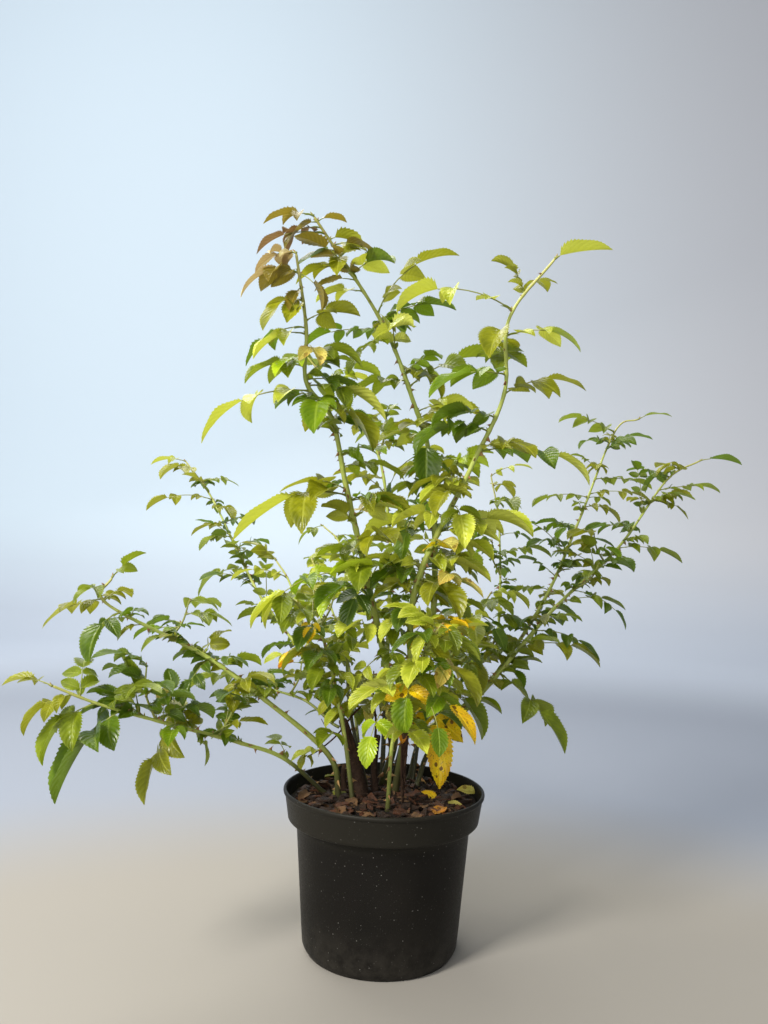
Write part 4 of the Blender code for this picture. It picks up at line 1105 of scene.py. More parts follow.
def drill_drains(pot):
    """A ring of round drain holes through the pot's floor."""
    bm = bmesh.new()
    for k in range(DRAIN_HOLES):
        turn = math.tau * (k + 0.5) / DRAIN_HOLES
        middle = (math.cos(turn) * DRAIN_RING_RADIUS, math.sin(turn) * DRAIN_RING_RADIUS, 0.001)
        bmesh.ops.create_cone(bm, cap_ends=True, segments=24, radius1=DRAIN_RADIUS,
                              radius2=DRAIN_RADIUS, depth=4 * FLOOR_THICKNESS,
                              matrix=Matrix.Translation(middle))
    drill = object_of("drill", bm)
    step = pot.modifiers.new("drains", "BOOLEAN")
    step.operation = "DIFFERENCE"
    step.object = drill
    step.solver = "EXACT"
    graph = bpy.context.evaluated_depsgraph_get()
    cut = bpy.data.meshes.new_from_object(pot.evaluated_get(graph))
    pot.modifiers.clear()
    pot.data = cut
    bpy.data.objects.remove(drill)


GROUND_GRID = 88             # squares across the sheet of soil
GROUND_RISE = 0.0022         # how high it lies on the solid soil
EDGE_DIP = 0.0016            # how much lower it is along the wall
DIP_START = 0.86             # share of the way out where it starts to dip
SKIRT_TUCK = 0.985           # draws its skirt's foot in


def ground_height(x, y):
    """The uneven top of the soil."""
    height = (0.0012 * math.sin(61 * x + 1.1) * math.cos(53 * y - 0.4)
              + 0.0008 * math.sin(140 * x - 90 * y + 2.0) + 0.0006 * math.sin(230 * y + 170 * x))
    away = math.hypot(x, y) / SOIL_RADIUS
    dip = EDGE_DIP * max(0.0, away - DIP_START) / (1 - DIP_START)
    return SOIL_LEVEL + GROUND_RISE + height - dip


def make_ground(material):
    """A crumbly sheet of soil across the pot, its edge turned down along the wall."""
    bm = bmesh.new()
    bmesh.ops.create_grid(bm, x_segments=GROUND_GRID, y_segments=GROUND_GRID, size=1.0)
    rng = random.Random(7)
    for vert in bm.verts:
        x, y = vert.co.x, vert.co.y
        reach = max(abs(x), abs(y))
        away = math.hypot(x, y)
        shrink = reach / away * SOIL_RADIUS if away > 0 else 0
        x, y = x * shrink, y * shrink
        vert.co = (x, y, ground_height(x, y) + rng.uniform(-0.0006, 0.0009))
    rim = [edge for edge in bm.edges if edge.is_boundary]
    skirt = bmesh.ops.extrude_edge_only(bm, edges=rim)["geom"]
    for vert in verts_of(skirt):
        vert.co.z = SOIL_SKIRT_FOOT
        vert.co.x *= SKIRT_TUCK
        vert.co.y *= SKIRT_TUCK
    bmesh.ops.recalc_face_normals(bm, faces=bm.faces[:])
    finish_piece("soil_top", smoothed(bm), material)


def chip_shape(seed):
    """A splinter of bark: a slab with broken ends and uneven faces."""
    bm = bmesh.new()
    bmesh.ops.create_cube(bm, size=1.0)
    bmesh.ops.subdivide_edges(bm, edges=edges_along(bm, 0), cuts=2, use_grid_fill=True)
    rng = random.Random(seed)
    for vert in bm.verts:
        taper = 1 - 0.5 * abs(vert.co.x) * rng.uniform(0.4, 1.4)
        vert.co = (vert.co.x * rng.uniform(0.85, 1.12), vert.co.y * taper * rng.uniform(0.8, 1.15),
                   vert.co.z * rng.uniform(0.6, 1.2) + 0.3 * math.cos(3 * vert.co.x) - 0.3)
    return Shape(bm, "chip_%d" % seed)


# Bark chips: piece, how many, length range, share of width, share of thickness
CHIP_SORTS = [("bark_dark", 330, (0.004, 0.016), 0.46, 0.20),
              ("bark_red", 210, (0.005, 0.017), 0.40, 0.16),
              ("bark_tan", 70, (0.005, 0.014), 0.24, 0.13),
              ("crumbs", 420, (0.0016, 0.0045), 0.80, 0.60)]
CHIP_RING = 0.955            # how far out chips lie, as a share of the soil's radius
RIM_CLEAR = 0.985            # a chip's end that would pass this is drawn in


def scatter_chips(materials):
    """Bark chips and crumbs lying at all angles on the soil, clear of the rim."""
    shapes = [chip_shape(seed) for seed in range(8)]
    rng = random.Random(23)
    for name, count, lengths, wide, thick in CHIP_SORTS:
        piece = Piece(name)
        for _ in range(count):
            away = SOIL_RADIUS * CHIP_RING * math.sqrt(rng.random())
            turn = rng.uniform(0, math.tau)
            x, y = away * math.cos(turn), away * math.sin(turn)
            length = rng.uniform(*lengths)
            if away + length * 0.5 > SOIL_RADIUS * RIM_CLEAR:
                x, y = x * 0.9, y * 0.9
            rise = rng.uniform(0.1, 0.5) * length * thick + rng.uniform(0, 0.0030)
            spin = (Matrix.Rotation(rng.uniform(0, math.tau), 3, "Z")
                    @ Matrix.Rotation(rng.gauss(0, 0.22), 3, "Y")
                    @ Matrix.Rotation(rng.gauss(0, 0.35), 3, "X"))
            axes = np.array(spin.transposed())
            shape = rng.choice(shapes)
            size = np.array((length, length * wide * rng.uniform(0.6, 1.3),
                             length * thick * rng.uniform(0.6, 1.3)))
            points = (shape.points * size) @ axes + np.array((x, y, ground_height(x, y) + rise))
            piece.add(shape, points)
        piece.finish(materials[name], "soil")


# Leaves fallen on the soil: place, bearing, tilt, length, tint
FALLEN = [((0.0520, 0.004), 200, 30, 0.021, "gold"), ((0.0597, -0.0522), 60, 16, 0.026, "rust"),
          ((0.0945, 0.020), 195, 12, 0.022, "straw"), ((-0.0653, -0.0448), 20, 8, 0.026, "dry"),
          ((-0.072, 0.030), 150, 18, 0.030, "dry"), ((-0.036, -0.030), 280, 10, 0.028, "dry"),
          ((0.086, -0.008), 20, 14, 0.024, "dry"), ((0.030, -0.074), 130, 8, 0.024, "dry"),
          ((-0.020, -0.082), 200, 10, 0.022, "dry"), ((0.070, 0.060), 250, 16, 0.026, "straw"),
          ((-0.060, 0.070), 10, 14, 0.024, "olive"), ((0.010, 0.084), 300, 12, 0.026, "rust"),
          ((0.044, -0.036), 190, 12, 0.022, "dry"), ((-0.088, -0.014), 250, 12, 0.022, "dry"),
          ((0.078, -0.030), 330, 18, 0.018, "straw"), ((-0.046, -0.070), 300, 12, 0.024, "dry"),
          ((-0.050, 0.004), 80, 16, 0.024, "olive")]

# Withered leaves that hang on the dead twigs: place, bearing, tilt, length, tint
HUNG = [((-0.0863, -0.020, 0.2118), 215, -35, 0.017, "olive"),
        ((-0.0863, -0.020, 0.2118), 330, -35, 0.014, "olive"),
        ((-0.0863, -0.020, 0.2118), 150, -35, 0.012, "olive"),
        ((-0.0146, 0.010, 0.2640), 235, -30, 0.022, "straw"),
        ((-0.0160, 0.006, 0.3000), -50, -20, 0.015, "rust"),
        ((0.0196, -0.023, 0.2420), 250, -40, 0.014, "rust")]

LITTER_RISE = 0.0062         # how high a fallen leaf lies on the chips


def drop_leaves(pieces):
    """Single leaflets on the soil and on the dead twigs; the brown ones are a piece apart."""
    rng = random.Random(77)
    dry = Piece("dry_leaves")
    for (x, y), bearing, tilt, length, tint in FALLEN:
        along = heading_of(bearing, tilt)
        lean = 0.8 if tint in ("gold", "straw") else 0.0
        across = (right_of(bearing) + Vector((0, 0, lean + rng.uniform(-0.3, 0.3)))).normalized()
        up = across.cross(along).normalized()
        across = along.cross(up)
        start = Vector((x, y, ground_height(x, y) + LITTER_RISE)) - along * length * 0.5
        curl = 2.2 if tint == "dry" else 1.0
        bend = (curl * rng.uniform(0.1, 0.4), curl * rng.uniform(0.3, 0.7), 0.03 * curl,
                rng.uniform(0, 6), rng.uniform(-0.3, 0.3))
        piece = dry if tint == "dry" else pieces[tint]
        piece.add(SMALL_BLADE, SMALL_BLADE.laid(start, along, across, up, length,
                                                length * (0.66 - 0.08 * curl), bend))
    for k, (start, bearing, tilt, length, tint) in enumerate(HUNG):
        along = heading_of(bearing, tilt)
        across = right_of(bearing)
        pieces[tint].add(SMALL_BLADE, SMALL_BLADE.laid(start, along, across, across.cross(along),
                                                       length, length * 0.6,
                                                       (0.7, 1.2, 0.05, k, 0.6)))
    return dry


# ---- Finishes ----

def colour(*rgb):
    """A shader colour from red, green and blue."""
    return (*rgb, 1.0)


def fill(tree, node, values):
    """Give a node's sockets a value or a link each."""
    for socket, value in dict(values).items():
        if isinstance(value, bpy.types.NodeSocket):
            tree.links.new(value, node.inputs[socket])
        else:
            node.inputs[socket].default_value = value
    return node


def add_node(tree, kind, values=(), **settings):
    """A shader node with its settings, and its sockets given a value or a link."""
    made = tree.nodes.new("ShaderNode" + kind)
    for key, value in settings.items():
        setattr(made, key, value)
    return fill(tree, made, values)


def maths(tree, operation, *values):
    """The result of one arithmetic node."""
    return add_node(tree, "Math", dict(enumerate(values)), operation=operation).outputs[0]


def times(tree, first, second):
    """One value times another."""
    return maths(tree, "MULTIPLY", first, second)


def mixed(tree, share, first, second):
    """The colour between two others."""
    return add_node(tree, "Mix", {0: share, 6: first, 7: second}, data_type="RGBA").outputs[2]


def tinted(tree, skin, mask, strength, rgb):
    """Another colour laid over a skin where a mask is bright, up to a strength."""
    return mixed(tree, times(tree, mask, strength), skin, colour(*rgb))


def ramp(tree, value, low, high):
    """A smooth 0 to 1 step between two values."""
    return add_node(tree, "MapRange", {0: value, 1: low, 2: high},
                    interpolation_type="SMOOTHSTEP").outputs[0]


def shared_group(name, inputs, outputs):
    """An empty shader node group with named inputs and outputs."""
    group = bpy.data.node_groups.new(name, "ShaderNodeTree")
    for label, value in inputs.items():
        kind = "NodeSocketVector" if value is None else "NodeSocketFloat"
        socket = group.interface.new_socket(label, in_out="INPUT", socket_type=kind)
        if value is not None:
            socket.default_value = value
    for label in outputs:
        group.interface.new_socket(label, in_out="OUTPUT", socket_type="NodeSocketFloat")
    return group, group.nodes.new("NodeGroupInput").outputs, group.nodes.new("NodeGroupOutput").inputs


def veins_group():
    """A leaflet's midrib and slanting side veins, from its own u (across) and v (along)."""
    group, given, result = shared_group("leaf veins", {"Place": None, "Pairs": 7.0, "Slant": 0.34},
                                        ("Midrib", "Veins", "Height"))
    parts = add_node(group, "SeparateXYZ", {0: given["Place"]}).outputs
    away = times(group, maths(group, "ABSOLUTE", maths(group, "SUBTRACT", parts[0], 0.5)), 2.0)
    midrib = ramp(group, away, 0.15, 0.02)
    along = maths(group, "SUBTRACT", parts[1], times(group, away, given["Slant"]))
    wave = maths(group, "FRACT", times(group, along, given["Pairs"]))
    near = times(group, maths(group, "ABSOLUTE", maths(group, "SUBTRACT", wave, 0.5)), 2.0)
    veins = ramp(group, near, 0.72, 1.0)
    group.links.new(midrib, result["Midrib"])
    group.links.new(veins, result["Veins"])
    group.links.new(maths(group, "SUBTRACT", times(group, near, -0.6), midrib), result["Height"])
    return group


def mottle_group():
    """Broad and fine cloudy patches in the object's own space."""
    group, given, result = shared_group("mottling", {"Scale": 30.0}, ("Broad", "Fine"))
    place = add_node(group, "TexCoord").outputs["Object"]
    broad = add_node(group, "TexNoise", {"Vector": place, "Scale": given["Scale"], "Detail": 2.0})
    fine = add_node(group, "TexNoise", {"Vector": place, "Detail": 4.0, "Roughness": 0.6,
                                        "Scale": times(group, given["Scale"], 8.0)})
    group.links.new(ramp(group, broad.outputs[0], 0.35, 0.65), result["Broad"])
    group.links.new(ramp(group, fine.outputs[0], 0.32, 0.68), result["Fine"])
    return group


def grain_group():
    """Streaks that run along a limb, from its own u (round) and v (along)."""
    group, given, result = shared_group("long grain", {"Place": None, "Around": 4.0, "Along": 9.0},
                                        ("Streaks", "Height"))
    parts = add_node(group, "SeparateXYZ", {0: given["Place"]}).outputs
    turn = times(group, parts[0], math.tau)
    spread = add_node(group, "CombineXYZ", {
        0: times(group, maths(group, "COSINE", turn), given["Around"]),
        1: times(group, maths(group, "SINE", turn), given["Around"]),
        2: times(group, parts[1], given["Along"])}).outputs[0]
    noise = add_node(group, "TexNoise", {"Vector": spread, "Scale": 1.0, "Detail": 4.0,
                                         "Roughness": 0.65}).outputs[0]
    group.links.new(ramp(group, noise, 0.38, 0.62), result["Streaks"])
    group.links.new(noise, result["Height"])
    return group


def specks_group():
    """Small scattered specks, such as dust or pale dots."""
    group, given, result = shared_group("specks", {"Scale": 120.0, "Size": 0.12}, ("Mask",))
    place = add_node(group, "TexCoord").outputs["Object"]
    cells = add_node(group, "TexVoronoi", {"Vector": place, "Scale": given["Scale"]})
    dot = add_node(group, "MapRange", {0: cells.outputs["Distance"], 1: given["Size"],
                                       2: times(group, given["Size"], 0.4)}).outputs[0]
    some = maths(group, "GREATER_THAN",
                 add_node(group, "SeparateColor", {0: cells.outputs["Color"]}).outputs[0], 0.72)
    group.links.new(times(group, dot, some), result["Mask"])
    return group


VEINS = veins_group()
MOTTLE = mottle_group()
GRAIN = grain_group()
SPECKS = specks_group()


def placed(tree, group, values=()):
    """A shared group placed in a material with its own values."""
    return add_node(tree, "Group", values, node_tree=group).outputs


def new_material(name):
    """A material with its own shader, joined to its output node."""
    material = bpy.data.materials.new(name)
    material.use_nodes = True
    tree = material.node_tree
    tree.nodes.clear()
    shader = tree.nodes.new("ShaderNodeBsdfPrincipled")
    end = tree.nodes.new("ShaderNodeOutputMaterial")
    tree.links.new(shader.outputs[0], end.inputs[0])
    return material, tree, shader


def between(tree, mask, low, high):
    """A value that goes from one number to another with a mask."""
    return add_node(tree, "MapRange", {0: mask, 3: low, 4: high}).outputs[0]


def bumped(tree, height, strength, distance):
    """A normal with fine relief from a height."""
    return add_node(tree, "Bump", {"Height": height, "Strength": strength,
                                   "Distance": distance}).outputs[0]


# Leaf tints: lit side, its darker patches, underside, glow through the blade, share of blotches
TINTS = {
    "mid": ((0.195, 0.245, 0.010), (0.088, 0.124, 0.004), (0.178, 0.210, 0.028), (0.40, 0.52, 0.02), 0),
    "green": ((0.180, 0.268, 0.005), (0.095, 0.168, 0.003), (0.170, 0.226, 0.024), (0.34, 0.56, 0.01), 0),
    "rich": ((0.090, 0.150, 0.006), (0.040, 0.078, 0.003), (0.120, 0.156, 0.023), (0.22, 0.38, 0.01), 0),
    "blue": ((0.076, 0.132, 0.014), (0.038, 0.074, 0.007), (0.112, 0.148, 0.036), (0.18, 0.32, 0.03), 0),
    "olive": ((0.285, 0.290, 0.012), (0.130, 0.145, 0.004), (0.235, 0.248, 0.033), (0.50, 0.52, 0.02), 0),
    # The next tint is pale new growth, its lit side and underside whitened in part as painted sheen
    "fresh": ((0.550, 0.585, 0.060), (0.290, 0.350, 0.014), (0.440, 0.466, 0.095), (0.76, 0.82, 0.06), 0),
    # The next tint is a green leaf whose lit side and glow are brightened as painted sunlight
    "vivid": ((0.400, 0.520, 0.012), (0.220, 0.340, 0.005), (0.360, 0.430, 0.060), (0.58, 0.76, 0.02), 0),
    "straw": ((0.700, 0.640, 0.180), (0.440, 0.390, 0.050), (0.600, 0.540, 0.160), (0.88, 0.78, 0.16), 0.5),
    "gold": ((1.000, 0.730, 0.012), (0.980, 0.600, 0.006), (1.000, 0.740, 0.040), (1.00, 0.82, 0.01), 0.75),
    "rust": ((0.560, 0.240, 0.010), (0.300, 0.120, 0.007), (0.460, 0.250, 0.045), (0.78, 0.38, 0.02), 1),
    "bronze": ((0.225, 0.160, 0.016), (0.115, 0.100, 0.006), (0.205, 0.165, 0.032), (0.40, 0.31, 0.03), 0),
    "plum": ((0.175, 0.086, 0.030), (0.090, 0.062, 0.012), (0.190, 0.115, 0.048), (0.34, 0.20, 0.07), 0),
    # The next tint's pale lit side is painted sunlight; its plum patches and underside are the leaf's own
    # colour
    "blush": ((0.720, 0.700, 0.320), (0.300, 0.170, 0.070), (0.300, 0.165, 0.072), (0.62, 0.48, 0.18), 0),
}
PATCH_SHADE = 0.78           # darkens every tint's patches
VEIN_LIFT = (0.055, 0.060, 0.015)
VEIN_PAIRS = 7.0
VEIN_SLANT = 0.34
LEAF_GLOW = 0.27             # share of the light that shines through a blade
SCORCH = (0.800, 0.300, 0.008)
DRY_MARGIN = (0.450, 0.140, 0.008)
LEAF_SPOT = (0.105, 0.034, 0.006)
SPOT_GLOW = (0.080, 0.026, 0.005)


def leaf_finish(name):
    """A leaf blade: waxy top with sunken veins, duller paler underside, light glowing through."""
    lit, patch, under, glow, blotches = TINTS[name]
    patch = [part * PATCH_SHADE for part in patch]
    material, tree, shader = new_material("leaf_" + name)
    place = add_node(tree, "UVMap").outputs[0]
    veins = placed(tree, VEINS, {"Place": place, "Pairs": VEIN_PAIRS, "Slant": VEIN_SLANT})
    mottle = placed(tree, MOTTLE, {"Scale": 38.0})
    cloud = placed(tree, MOTTLE, {"Scale": 105.0})
    top = mixed(tree, mottle["Broad"], colour(*lit), colour(*patch))
    top = tinted(tree, top, cloud["Broad"], 0.62, patch)
    top = tinted(tree, top, mottle["Fine"], 0.25, patch)
    light = colour(*glow)
    pale = [min(1.0, 0.6 * a + 0.4 * b + c) for a, b, c in zip(lit, under, VEIN_LIFT)]
    top = tinted(tree, top, veins["Veins"], 0.20, pale)
    top = tinted(tree, top, veins["Midrib"], 0.75, pale)
    across = add_node(tree, "SeparateXYZ", {0: place}).outputs[0]
    away = maths(tree, "ABSOLUTE", maths(tree, "SUBTRACT", across, 0.5))
    top = tinted(tree, top, ramp(tree, away, 0.36, 0.50), 0.40, pale)
    if blotches:
        spots = placed(tree, SPECKS, {"Scale": 150.0, "Size": 0.58})
        worn = placed(tree, MOTTLE, {"Scale": 70.0})
        scorch = times(tree, worn["Broad"], cloud["Fine"])
        top = tinted(tree, top, scorch, 0.60 * blotches, SCORCH)
        margin = times(tree, ramp(tree, away, 0.24, 0.48), worn["Broad"])
        top = tinted(tree, top, margin, 0.75 * blotches, DRY_MARGIN)
        brown = maths(tree, "MAXIMUM", ramp(tree, spots["Mask"], 0.45, 0.65),
                      ramp(tree, worn["Fine"], 0.86, 1.0))
        brown = times(tree, brown, min(0.92, 1.15 * blotches))
        top = mixed(tree, brown, top, colour(*LEAF_SPOT))
        light = mixed(tree, brown, light, colour(*SPOT_GLOW))
    back = add_node(tree, "NewGeometry").outputs["Backfacing"]
    low = tinted(tree, colour(*under), veins["Veins"], 0.4, [0.7 * part for part in under])
    rough = between(tree, mottle["Fine"], 0.27, 0.42)
    normal = bumped(tree, veins["Height"], 0.60, 0.0008)
    fill(tree, shader, {"Base Color": mixed(tree, back, top, low), "Roughness": rough,
                        "Specular IOR Level": 0.34, "Normal": normal})
    through = add_node(tree, "BsdfTranslucent", {"Color": light, "Normal": normal})
    both = add_node(tree, "MixShader", {0: LEAF_GLOW, 1: shader.outputs[0], 2: through.outputs[0]})
    fill(tree, tree.nodes["Material Output"], {0: both.outputs[0]})
    return material


# Where painted shade darkens limbs to their foot colour, low in the crown's middle: heights, lower towards
# the back, and distances out
PAINTED_SHADE_HEIGHTS = (0.290, 0.175)
PAINTED_SHADE_RING = (0.125, 0.095)
PAINTED_SHADE_SLOPE = -0.7            # how much lower it reaches for each metre back


def limb_finish(name, main, streak, patch, foot, tip, roughness, depth, around=3.0, along=60.0):
    """Bark or skin that streaks along a limb and changes from its foot to its tip; the foot colour is
    painted shade, laid low in the crown's middle.
    """
    material, tree, shader = new_material(name)
    place = add_node(tree, "UVMap").outputs[0]
    grain = placed(tree, GRAIN, {"Place": place, "Around": around, "Along": along})
    mottle = placed(tree, MOTTLE, {"Scale": 26.0})
    skin = tinted(tree, colour(*main), grain["Streaks"], 0.75, streak)
    skin = tinted(tree, skin, mottle["Broad"], 0.55, patch)
    up = add_node(tree, "SeparateXYZ", {0: place}).outputs[1]
    spot = add_node(tree, "TexCoord").outputs["Object"]
    parts = add_node(tree, "SeparateXYZ", {0: spot}).outputs
    flat = add_node(tree, "CombineXYZ", {0: parts[0], 1: parts[1], 2: 0.0}).outputs[0]
    out = add_node(tree, "VectorMath", {0: flat}, operation="LENGTH").outputs["Value"]
    # painted shade: near the axis and low down, lower towards the back, the limb takes its darker foot
    # colour
    height = maths(tree, "MULTIPLY_ADD", parts[1], PAINTED_SHADE_SLOPE, parts[2])
    painted_shade = times(tree, ramp(tree, height, *PAINTED_SHADE_HEIGHTS), ramp(tree, out, *PAINTED_SHADE_RING))
    skin = mixed(tree, painted_shade, skin, colour(*foot))
    skin = tinted(tree, skin, ramp(tree, up, 0.80, 1.0), 0.6, tip)
    rough = between(tree, mottle["Fine"], roughness - 0.08, roughness + 0.08)
    relief = maths(tree, "ADD", grain["Height"], mottle["Fine"])
    fill(tree, shader, {"Base Color": skin, "Roughness": rough,
                        "Normal": bumped(tree, relief, 0.5, depth),
                        "Specular IOR Level": 0.45 if roughness < 0.6 else 0.18})
    return material


def rough_finish(name, main, patch, speck, roughness, scale, depth=0.0008):
    """Soil, bark chips and dead leaves: cloudy, dull and finely pitted."""
    material, tree, shader = new_material(name)
    mottle = placed(tree, MOTTLE, {"Scale": scale})
    fine = placed(tree, MOTTLE, {"Scale": scale * 5})
    skin = mixed(tree, mottle["Broad"], colour(*main), colour(*patch))
    skin = tinted(tree, skin, fine["Fine"], 0.45, speck)
    rough = between(tree, fine["Fine"], roughness - 0.1, min(1.0, roughness + 0.05))
    relief = maths(tree, "ADD", mottle["Fine"], fine["Fine"])
    fill(tree, shader, {"Base Color": skin, "Roughness": rough, "Specular IOR Level": 0.28,
                        "Normal": bumped(tree, relief, 0.6, depth)})
    return material


COLLAR_FADE = (0.128, 0.142)     # heights that the pot's paler collar starts over
DUST = (0.30, 0.29, 0.27)


def pot_finish():
    """Black matt plastic with a paler collar, a dusty film at its foot and pale specks."""
    material, tree, shader = new_material("pot_plastic")
    mottle = placed(tree, MOTTLE, {"Scale": 9.0})
    fine = placed(tree, MOTTLE, {"Scale": 70.0})
    dust = placed(tree, SPECKS, {"Scale": 210.0, "Size": 0.15})
    place = add_node(tree, "TexCoord").outputs["Object"]
    height = add_node(tree, "SeparateXYZ", {0: place}).outputs[2]
    skin = mixed(tree, mottle["Broad"], colour(0.0058, 0.0052, 0.0045), colour(0.0092, 0.0082, 0.0069))
    skin = tinted(tree, skin, ramp(tree, height, *COLLAR_FADE), 0.5, (0.0190, 0.0175, 0.0130))
    film = times(tree, ramp(tree, height, 0.060, 0.0), mottle["Fine"])
    skin = tinted(tree, skin, film, 0.07, (0.20, 0.18, 0.15))
    skin = tinted(tree, skin, dust["Mask"], 0.35, DUST)
    powder = placed(tree, SPECKS, {"Scale": 380.0, "Size": 0.20})
    skin = tinted(tree, skin, powder["Mask"], 0.10, DUST)
    rough = between(tree, fine["Fine"], 0.40, 0.52)
    rough = maths(tree, "ADD", rough, times(tree, dust["Mask"], 0.3))
    fill(tree, shader, {"Base Color": skin, "Roughness": rough, "Specular IOR Level": 0.11,
                        "Normal": bumped(tree, fine["Fine"], 0.18, 0.0002)})
    return material


# ---- Stage ----

# The sweep: distance back and height of its profile, and its colours, which are graded as painted light and
# shade
SWEEP_PROFILE = [(-14.0, 0.0), (2.2, 0.0), (2.5, 0.03), (2.75, 0.12), (2.95, 0.32), (3.05, 0.62),
                 (3.08, 1.0), (3.08, 4.5)]
SWEEP_WIDTH = 24.0
SWEEP_DROP = 0.0002          # keeps the floor just clear of the pot's underside
FLOOR_WARM = (0.262, 0.246, 0.224)
FLOOR_COOL = (0.235, 0.262, 0.322)
FLOOR_FAR = (0.495, 0.545, 0.640)
WALL_LEFT = (0.70, 0.81, 0.90)
# painted shade: the wall's darker, greyer tone towards the right
WALL_RIGHT_SHADE = (0.64, 0.65, 0.69)

SKY_TONE = (0.91, 0.95, 1.0)
SKY_STRENGTH = 0.39

# Lights: place, aim, size, power, tone
LIGHTS = {
    "key": ((-1.5, -1.7, 1.9), (0.0, 0.0, 0.42), 0.6, 106.0, (1.0, 0.96, 0.87)),
    "front_fill": ((-0.5, -2.25, 0.9), (0.0, 0.0, 0.4), 1.4, 28.0, (1.0, 0.98, 0.93)),
    "top_glow": ((-0.7, 1.2, 2.2), (0.0, 0.0, 0.5), 1.7, 56.0, (1.0, 0.96, 0.86)),
    "wall_wash": ((-1.5, 0.6, 3.0), (-1.3, 3.1, 1.0), 2.6, 33.0, (0.95, 0.98, 1.0)),
}

CAMERA_PLACE = (-0.0104, -0.979, 0.445)
CAMERA_TILT = 2.3            # degrees up
CAMERA_ROLL = 1.9            # degrees
SENSOR_MM = 36.0
LENS_MM = 30.23


def sweep_finish():
    """A floor graded as painted light and shade, warm under the plant and cooler behind it, and a wall
    painted darker and greyer to the right as painted shade.
    """
    material, tree, shader = new_material("sweep")
    place = add_node(tree, "TexCoord").outputs["Object"]
    parts = add_node(tree, "SeparateXYZ", {0: place}).outputs
    away = add_node(tree, "VectorMath", {0: place, 1: (0.0, -0.6, 0.0)},
                    operation="DISTANCE").outputs["Value"]
    # painted light and shade: the floor's tone is graded with distance from the plant
    floor = mixed(tree, ramp(tree, away, 0.80, 1.30), colour(*FLOOR_WARM), colour(*FLOOR_COOL))
    floor = mixed(tree, ramp(tree, away, 2.1, 3.3), floor, colour(*FLOOR_FAR))
    # painted shade: the wall darkens towards the right
    wall = mixed(tree, ramp(tree, parts[0], -0.9, 2.0), colour(*WALL_LEFT), colour(*WALL_RIGHT_SHADE))
    fill(tree, shader, {"Base Color": mixed(tree, ramp(tree, parts[2], 0.0, 0.6), floor, wall),
                        "Roughness": 0.9})
    return material


def make_sweep():
    """A pale floor that curves up into a pale backdrop."""
    bm = bmesh.new()
    verts = [bm.verts.new((-SWEEP_WIDTH / 2, y, z - SWEEP_DROP)) for y, z in SWEEP_PROFILE]
    edges = [bm.edges.new(pair) for pair in zip(verts, verts[1:])]
    moved = bmesh.ops.extrude_edge_only(bm, edges=edges)["geom"]
    bmesh.ops.translate(bm, vec=(SWEEP_WIDTH, 0, 0), verts=verts_of(moved))
    bmesh.ops.recalc_face_normals(bm, faces=bm.faces[:])
    sweep = object_of("sweep", smoothed(bm), sweep_finish())


def set_lights():
    """An even pale sky and soft lamps."""
    world = bpy.data.worlds.new("studio")
    world.use_nodes = True
    fill(world.node_tree, world.node_tree.nodes["Background"],
         {"Color": colour(*SKY_TONE), "Strength": SKY_STRENGTH})
    bpy.context.scene.world = world
    for name, (place, aim, size, energy, tone) in LIGHTS.items():
        lamp = bpy.data.lights.new(name, "AREA")
        lamp.size = size
        lamp.energy = energy
        lamp.color = tone
        item = put_in_scene(name, lamp)
        item.location = place
        item.rotation_euler = (Vector(aim) - Vector(place)).to_track_quat("-Z", "Y").to_euler()


def set_camera():
    """A camera close in front at the height of the canes, tilted up a little."""
    lens = bpy.data.cameras.new("camera")
    lens.sensor_width = SENSOR_MM
    lens.lens = LENS_MM
    lens.clip_end = 30.0
    camera = put_in_scene("camera", lens)
    camera.matrix_world = (Matrix.Translation(CAMERA_PLACE)
                           @ Matrix.Rotation(math.radians(90 + CAMERA_TILT), 4, "X")
                           @ Matrix.Rotation(math.radians(CAMERA_ROLL), 4, "Z"))
    bpy.context.scene.camera = camera
    bpy.context.scene.view_settings.view_transform = "Standard"


# ---- Build ----

pieces = grow_plant()
dry_leaves = drop_leaves(pieces)
stumps = grow_stumps()
dead_twigs = grow_dead_twigs()

leaf_skins = {name: leaf_finish(name) for name in TINTS}
# The foot colours below are painted shade, laid on each limb low in the middle of the crown
cane_skin = limb_finish(
    "cane_skin", main=(0.285, 0.365, 0.050), streak=(0.470, 0.510, 0.150),
    patch=(0.300, 0.325, 0.070), foot=(0.040, 0.040, 0.014), tip=(0.330, 0.280, 0.080),
    roughness=0.44, depth=0.0003)
stalk_skin = limb_finish(
    "stalk_skin", main=(0.210, 0.250, 0.048), streak=(0.300, 0.240, 0.075),
    patch=(0.160, 0.210, 0.036), foot=(0.200, 0.150, 0.050), tip=(0.230, 0.260, 0.055),
    roughness=0.50, depth=0.0001)
stump_bark = limb_finish(
    "stump_bark", main=(0.026, 0.013, 0.008), streak=(0.140, 0.070, 0.036),
    patch=(0.014, 0.007, 0.005), foot=(0.026, 0.014, 0.009), tip=(0.085, 0.052, 0.032),
    roughness=0.86, depth=0.0030, around=2.6, along=9.0)
dead_bark = limb_finish(
    "dead_bark", main=(0.060, 0.030, 0.018), streak=(0.150, 0.075, 0.040),
    patch=(0.030, 0.018, 0.012), foot=(0.040, 0.022, 0.014), tip=(0.090, 0.050, 0.028),
    roughness=0.84, depth=0.0008, around=2.0, along=8.0)
prickle_skin = rough_finish(
    "prickle_skin", main=(0.250, 0.125, 0.050), patch=(0.340, 0.230, 0.085),
    speck=(0.180, 0.075, 0.033), roughness=0.45, scale=60.0, depth=0.0002)
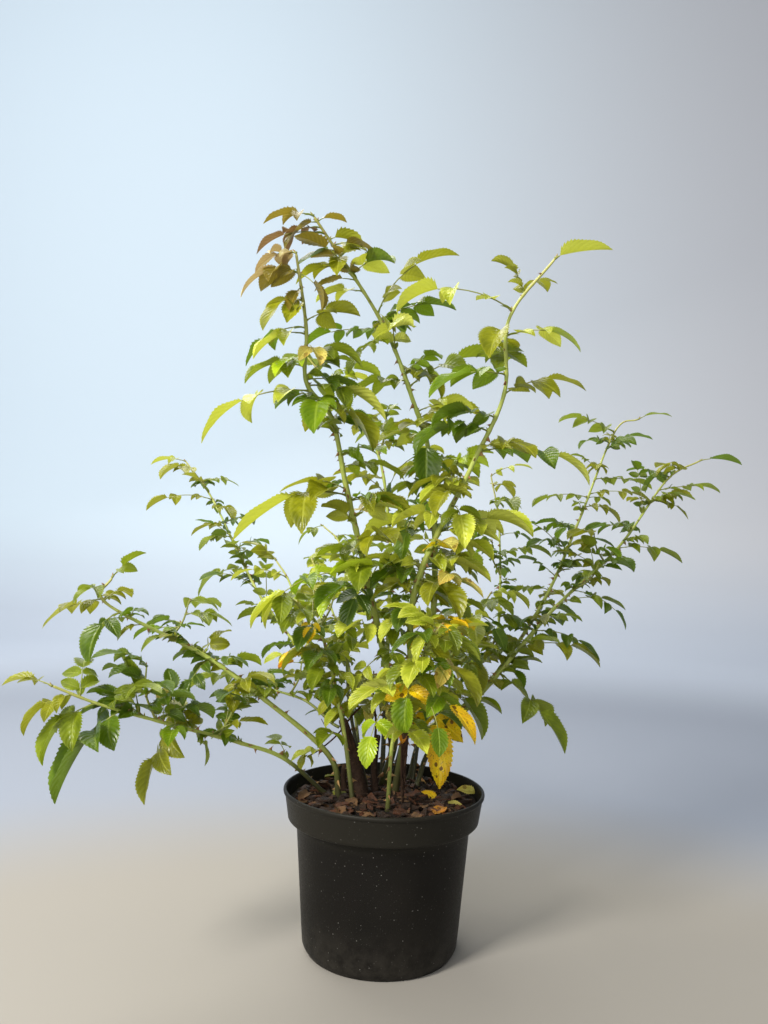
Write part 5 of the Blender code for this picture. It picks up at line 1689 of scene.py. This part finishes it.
bud_skin = rough_finish(
    "bud_skin", main=(0.300, 0.160, 0.060), patch=(0.280, 0.330, 0.080),
    speck=(0.220, 0.080, 0.040), roughness=0.50, scale=60.0, depth=0.0002)
dry_skin = rough_finish(
    "dry_leaf", main=(0.120, 0.058, 0.024), patch=(0.050, 0.024, 0.011),
    speck=(0.190, 0.115, 0.055), roughness=0.75, scale=90.0, depth=0.0006)
ground_skin = rough_finish(
    "ground", main=(0.011, 0.006, 0.004), patch=(0.006, 0.004, 0.003),
    speck=(0.026, 0.014, 0.008), roughness=0.90, scale=90.0, depth=0.0015)
chip_skins = {
    "bark_dark": rough_finish(
        "bark_dark", main=(0.024, 0.011, 0.006), patch=(0.011, 0.005, 0.003),
        speck=(0.046, 0.022, 0.012), roughness=0.60, scale=80.0),
    "bark_red": rough_finish(
        "bark_red", main=(0.076, 0.025, 0.011), patch=(0.032, 0.012, 0.006),
        speck=(0.120, 0.050, 0.023), roughness=0.60, scale=80.0),
    "bark_tan": rough_finish(
        "bark_tan", main=(0.130, 0.070, 0.032), patch=(0.078, 0.040, 0.019),
        speck=(0.190, 0.115, 0.058), roughness=0.75, scale=80.0),
    "crumbs": rough_finish(
        "crumbs", main=(0.010, 0.006, 0.004), patch=(0.028, 0.014, 0.008),
        speck=(0.005, 0.003, 0.002), roughness=0.90, scale=120.0),
}

boughs = ["bough_" + name for name in CANES]
masses = ["leaves_" + name for name in CANES]
pieces.pop("canes").finish(cane_skin, "canes", boughs)
pieces.pop("stalks").finish(stalk_skin, "foliage")
pieces.pop("ears").finish(leaf_skins["mid"], "foliage")
pieces.pop("prickles").finish(prickle_skin, "canes")
pieces.pop("buds").finish(bud_skin, "canes")
for name, piece in pieces.items():
    piece.finish(leaf_skins[name], "foliage", masses if name == "mid" else ())
dry_leaves.finish(dry_skin, "foliage")
stumps.finish(stump_bark, "old_wood", list(STUMPS))
dead_twigs.finish(dead_bark, "old_wood")
make_pot(pot_finish())
make_ground(ground_skin)
scatter_chips(chip_skins)
solid_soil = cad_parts["soil"].data
solid_soil.materials.clear()
solid_soil.materials.append(ground_skin)
make_sweep()
set_lights()
set_camera()
